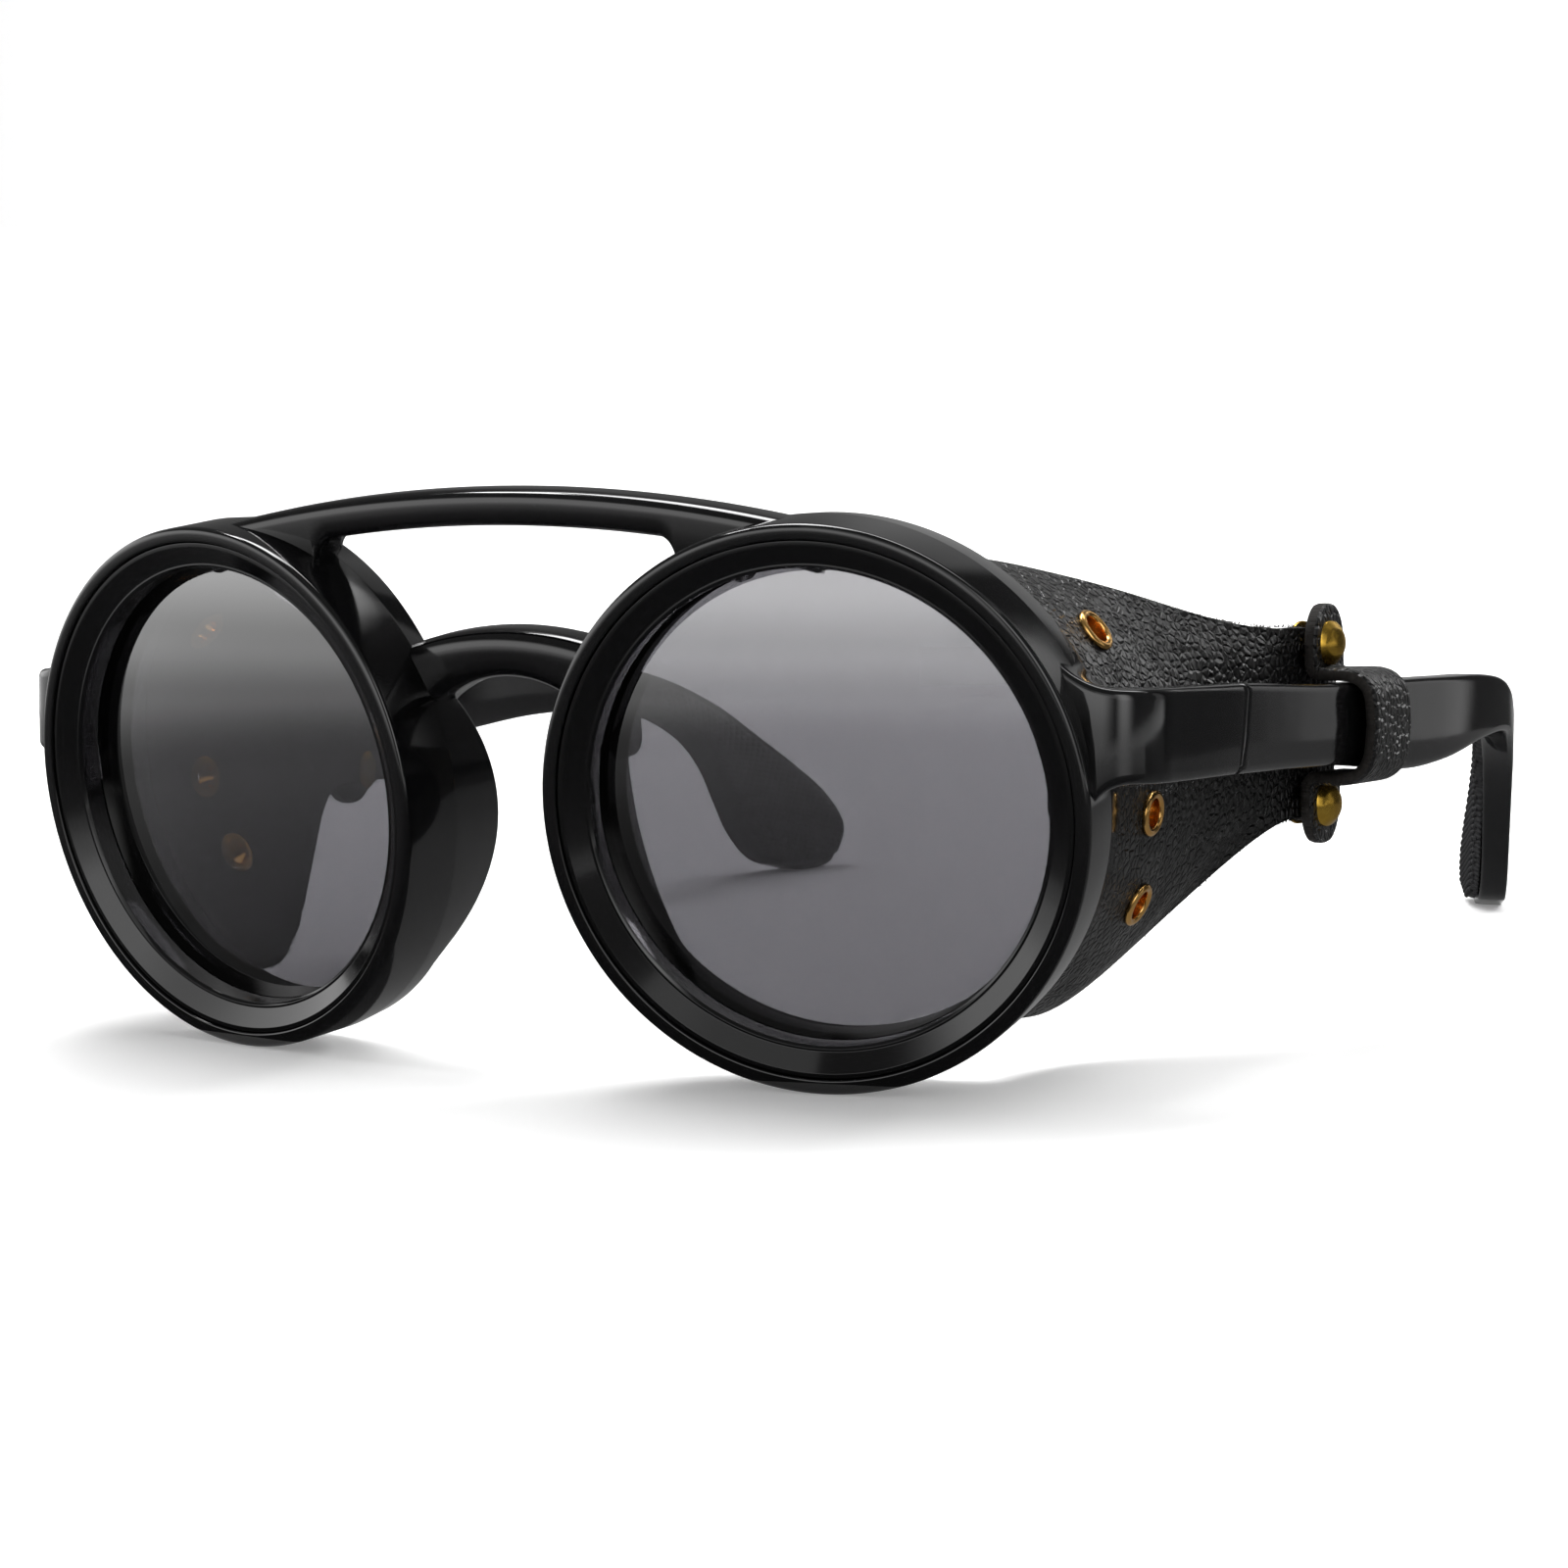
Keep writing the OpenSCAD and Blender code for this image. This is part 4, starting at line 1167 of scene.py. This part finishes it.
# %% Panels that only reflections see
def glow(name, steps, along, soft=0.12):
    """Emission that follows brightness steps along U or V, or with distance from the glasses.

    The panel fades out near its ends in U and at its top, so no reflection shows its edge."""
    material = bpy.data.materials.new(name)
    material.use_nodes = True
    tree = material.node_tree
    tree.nodes.clear()
    place = add(tree, "ShaderNodeTexCoord")
    apart = add(tree, "ShaderNodeSeparateXYZ", {0: place.outputs["UV"]})
    if along == "distance":
        between = {0: place.outputs["Object"], 1: (0, -0.05, 0)}
        measure = add(tree, "ShaderNodeVectorMath", between, operation="DISTANCE").outputs[1]
    else:
        measure = apart.outputs["UV".index(along)]
    ramp = add(tree, "ShaderNodeValToRGB", {0: measure})
    ramp.color_ramp.interpolation = "EASE"
    while len(ramp.color_ramp.elements) < len(steps):
        ramp.color_ramp.elements.new(0.5)
    for stop, (at, level) in zip(ramp.color_ramp.elements, steps):
        stop.position = at
        stop.color = (level, level, level, 1)
    shine = add(tree, "ShaderNodeEmission", {"Color": ramp.outputs[0], "Strength": 3.0})
    if along == "distance":
        add(tree, "ShaderNodeOutputMaterial", {"Surface": shine.outputs[0]})
        return material
    start, end, top = [
        add(tree, "ShaderNodeMapRange", {0: apart.outputs[i], 1: a, 2: b}, interpolation_type="SMOOTHSTEP")
        for i, a, b in ((0, 0.0, soft), (0, 1.0, 1 - soft), (1, 1.0, 0.6))
    ]
    both = add(tree, "ShaderNodeMath", {0: start.outputs[0], 1: end.outputs[0]}, operation="MULTIPLY")
    mask = add(tree, "ShaderNodeMath", {0: both.outputs[0], 1: top.outputs[0]}, operation="MULTIPLY")
    clear = add(tree, "ShaderNodeBsdfTransparent")
    sides = {0: mask.outputs[0], 1: clear.outputs[0], 2: shine.outputs[0]}
    mixed = add(tree, "ShaderNodeMixShader", sides)
    add(tree, "ShaderNodeOutputMaterial", {"Surface": mixed.outputs[0]})
    return material


def panel(name, points, faces, material, seen=False, uv=None):
    """A studio surface; unless it's seen, only reflections notice it."""
    mesh = bpy.data.meshes.new(name)
    mesh.from_pydata(points, [], faces)
    mesh.materials.append(material)
    if uv:
        layer = mesh.uv_layers.new(name="panel")
        for loop in mesh.loops:
            layer.data[loop.index].uv = uv[loop.vertex_index]
    made = link(name, mesh)
    if not seen:
        for kind in ("camera", "shadow", "diffuse", "transmission", "volume_scatter"):
            setattr(made, f"visible_{kind}", False)
    return made


def curved(name, radius, turn_from, turn_to, low, high, material):
    """An upright screen bent round the glasses; turns are degrees from the front towards +X."""
    turns = np.radians(np.linspace(turn_from, turn_to, 49))
    foot = [(radius * math.sin(t), -0.05 - radius * math.cos(t)) for t in turns]
    points = [(x, y, z) for z in (low, high) for x, y in foot]
    uv = [(i / 48, v) for v in (0, 1) for i in range(49)]
    return panel(name, points, [(i, i + 1, i + 50, i + 49) for i in range(48)], material, uv=uv)


# %% Sweep, screens and flags
floor_material, tree, shader = blank("pale_paper_sweep", "#f7f7f7", Roughness=0.9)
# The sweep is translucent and lit from behind, so it stays near white to its top
shader.inputs["Emission Color"].default_value = linear("#ffffff")
shader.inputs["Emission Strength"].default_value = 0.22
profile = [(-5, 0), (1.4, 0), (1.8, 0.06), (2.1, 0.25), (2.25, 0.6), (2.3, 3.5)]
panel("pale_sweep", [(x, y, z) for y, z in profile for x in (-6, 6)],
      [(2 * i, 2 * i + 1, 2 * i + 3, 2 * i + 2) for i in range(len(profile) - 1)], floor_material, True)
# Brightness steps are shares of the glow's strength of 3
curved("front_screen", 0.42, -125, 40, 0.002, 0.3,
       glow("front_screen_glow", [(0, 0.2), (0.12, 0.42), (0.3, 0.78), (0.5, 0.78)], "V", 0.2))
curved("side_strip", 0.2, 42, 72, 0.002, 0.25,
       glow("side_strip_glow", [(0, 0.1), (0.05, 0.35), (0.3, 1.0)], "V", 0.45))
# Behind the glasses the wall runs dark, grey for the temples, dark for the rims, grey again
curved("rear_wrap", 0.32, 112, 250, 0.001, 0.7,
       glow("rear_wrap_glow", [
           (0, 0.02), (0.24, 0.02), (0.27, 0.13), (0.32, 0.15), (0.35, 0.012), (0.44, 0.012),
           (0.48, 0.1), (0.6, 0.12), (0.7, 0.05), (1, 0.04)], "U", 0.06))
FLAG = 0.0012
front_plan = [(-0.6, -0.6), (0.6, -0.6), (0.6, -0.07), (-0.085, -0.07), (-0.085, 0.3), (-0.6, 0.3)]
panel("front_floor_flag", [(x, y, FLAG) for x, y in front_plan], [(0, 1, 2, 3), (0, 3, 4, 5)],
      glow("front_floor_glow", [(0.05, 0.015), (0.2, 0.05), (0.42, 0.2)], "distance"))
rear_plan = [(-0.085, -0.07), (0.6, -0.07), (0.6, 0.5), (-0.085, 0.5)]
panel("rear_floor_flag", [(x, y, FLAG) for x, y in rear_plan], [(0, 1, 2, 3)],
      glow("rear_floor_glow", [(0.02, 0.1), (0.12, 0.07), (0.3, 0.05)], "distance"))

# %% Lights
world = bpy.data.worlds.new("studio")
bpy.context.scene.world = world
world.use_nodes = True
add_to = world.node_tree.nodes["Background"].inputs
add_to[0].default_value = linear("#ffffff")
add_to[1].default_value = 0.16


def soft_light(name, place, target, size, power):
    data = bpy.data.lights.new(name, "AREA")
    data.shape = "RECTANGLE"
    data.size, data.size_y = size
    data.energy = power
    made = link(name, data)
    made.location = place
    made.rotation_euler = (Vector(target) - Vector(place)).to_track_quat("-Z", "Y").to_euler()
    return made


soft_light("overhead_softbox", (-0.3, 0.12, 0.95), (0, 0.0, 0.02), (0.4, 0.35), 6)
soft_light("key_softbox", (-0.5, -0.12, 0.85), (0, -0.05, 0.03), (0.16, 0.1), 1.2)
soft_light("rear_kicker", (0.42, 0.95, 0.5), (0.06, 0, 0.04), (0.3, 0.2), 5)
soft_light("front_fill", (0.3, -1.4, 0.9), (0, 0, 0.02), (1.2, 0.8), 2)
soft_light("sweep_light", (0, 1.2, 2.2), (0, 2.2, 0.3), (3, 1), 70)

# %% [markdown]
# ## Camera
# A long lens looks slightly down at the front from the wearer's left.

# %% Camera and tone
camera_data = bpy.data.cameras.new("camera")
camera_data.sensor_width = 36
camera_data.lens = 3639 / 1600 * 36
camera = link("camera", camera_data)
tip = Matrix.Rotation(-REST_TILT, 3, "X")
forward = (tip @ Vector((-0.496, 0.866, -0.062))).normalized()
right = (tip @ Vector((0.868, 0.497, 0.0))).normalized()
right = (right - forward * right.dot(forward)).normalized()
above = right.cross(forward)
spot = stand([[211.8, -309.2, 25.1]])[0]
camera.matrix_world = Matrix(
    [[right[i], above[i], -forward[i], spot[i]] for i in range(3)] + [[0, 0, 0, 1]]
)
bpy.context.scene.camera = camera
bpy.context.scene.view_settings.view_transform = "Standard"
print("camera at", [round(float(x), 3) for x in spot])
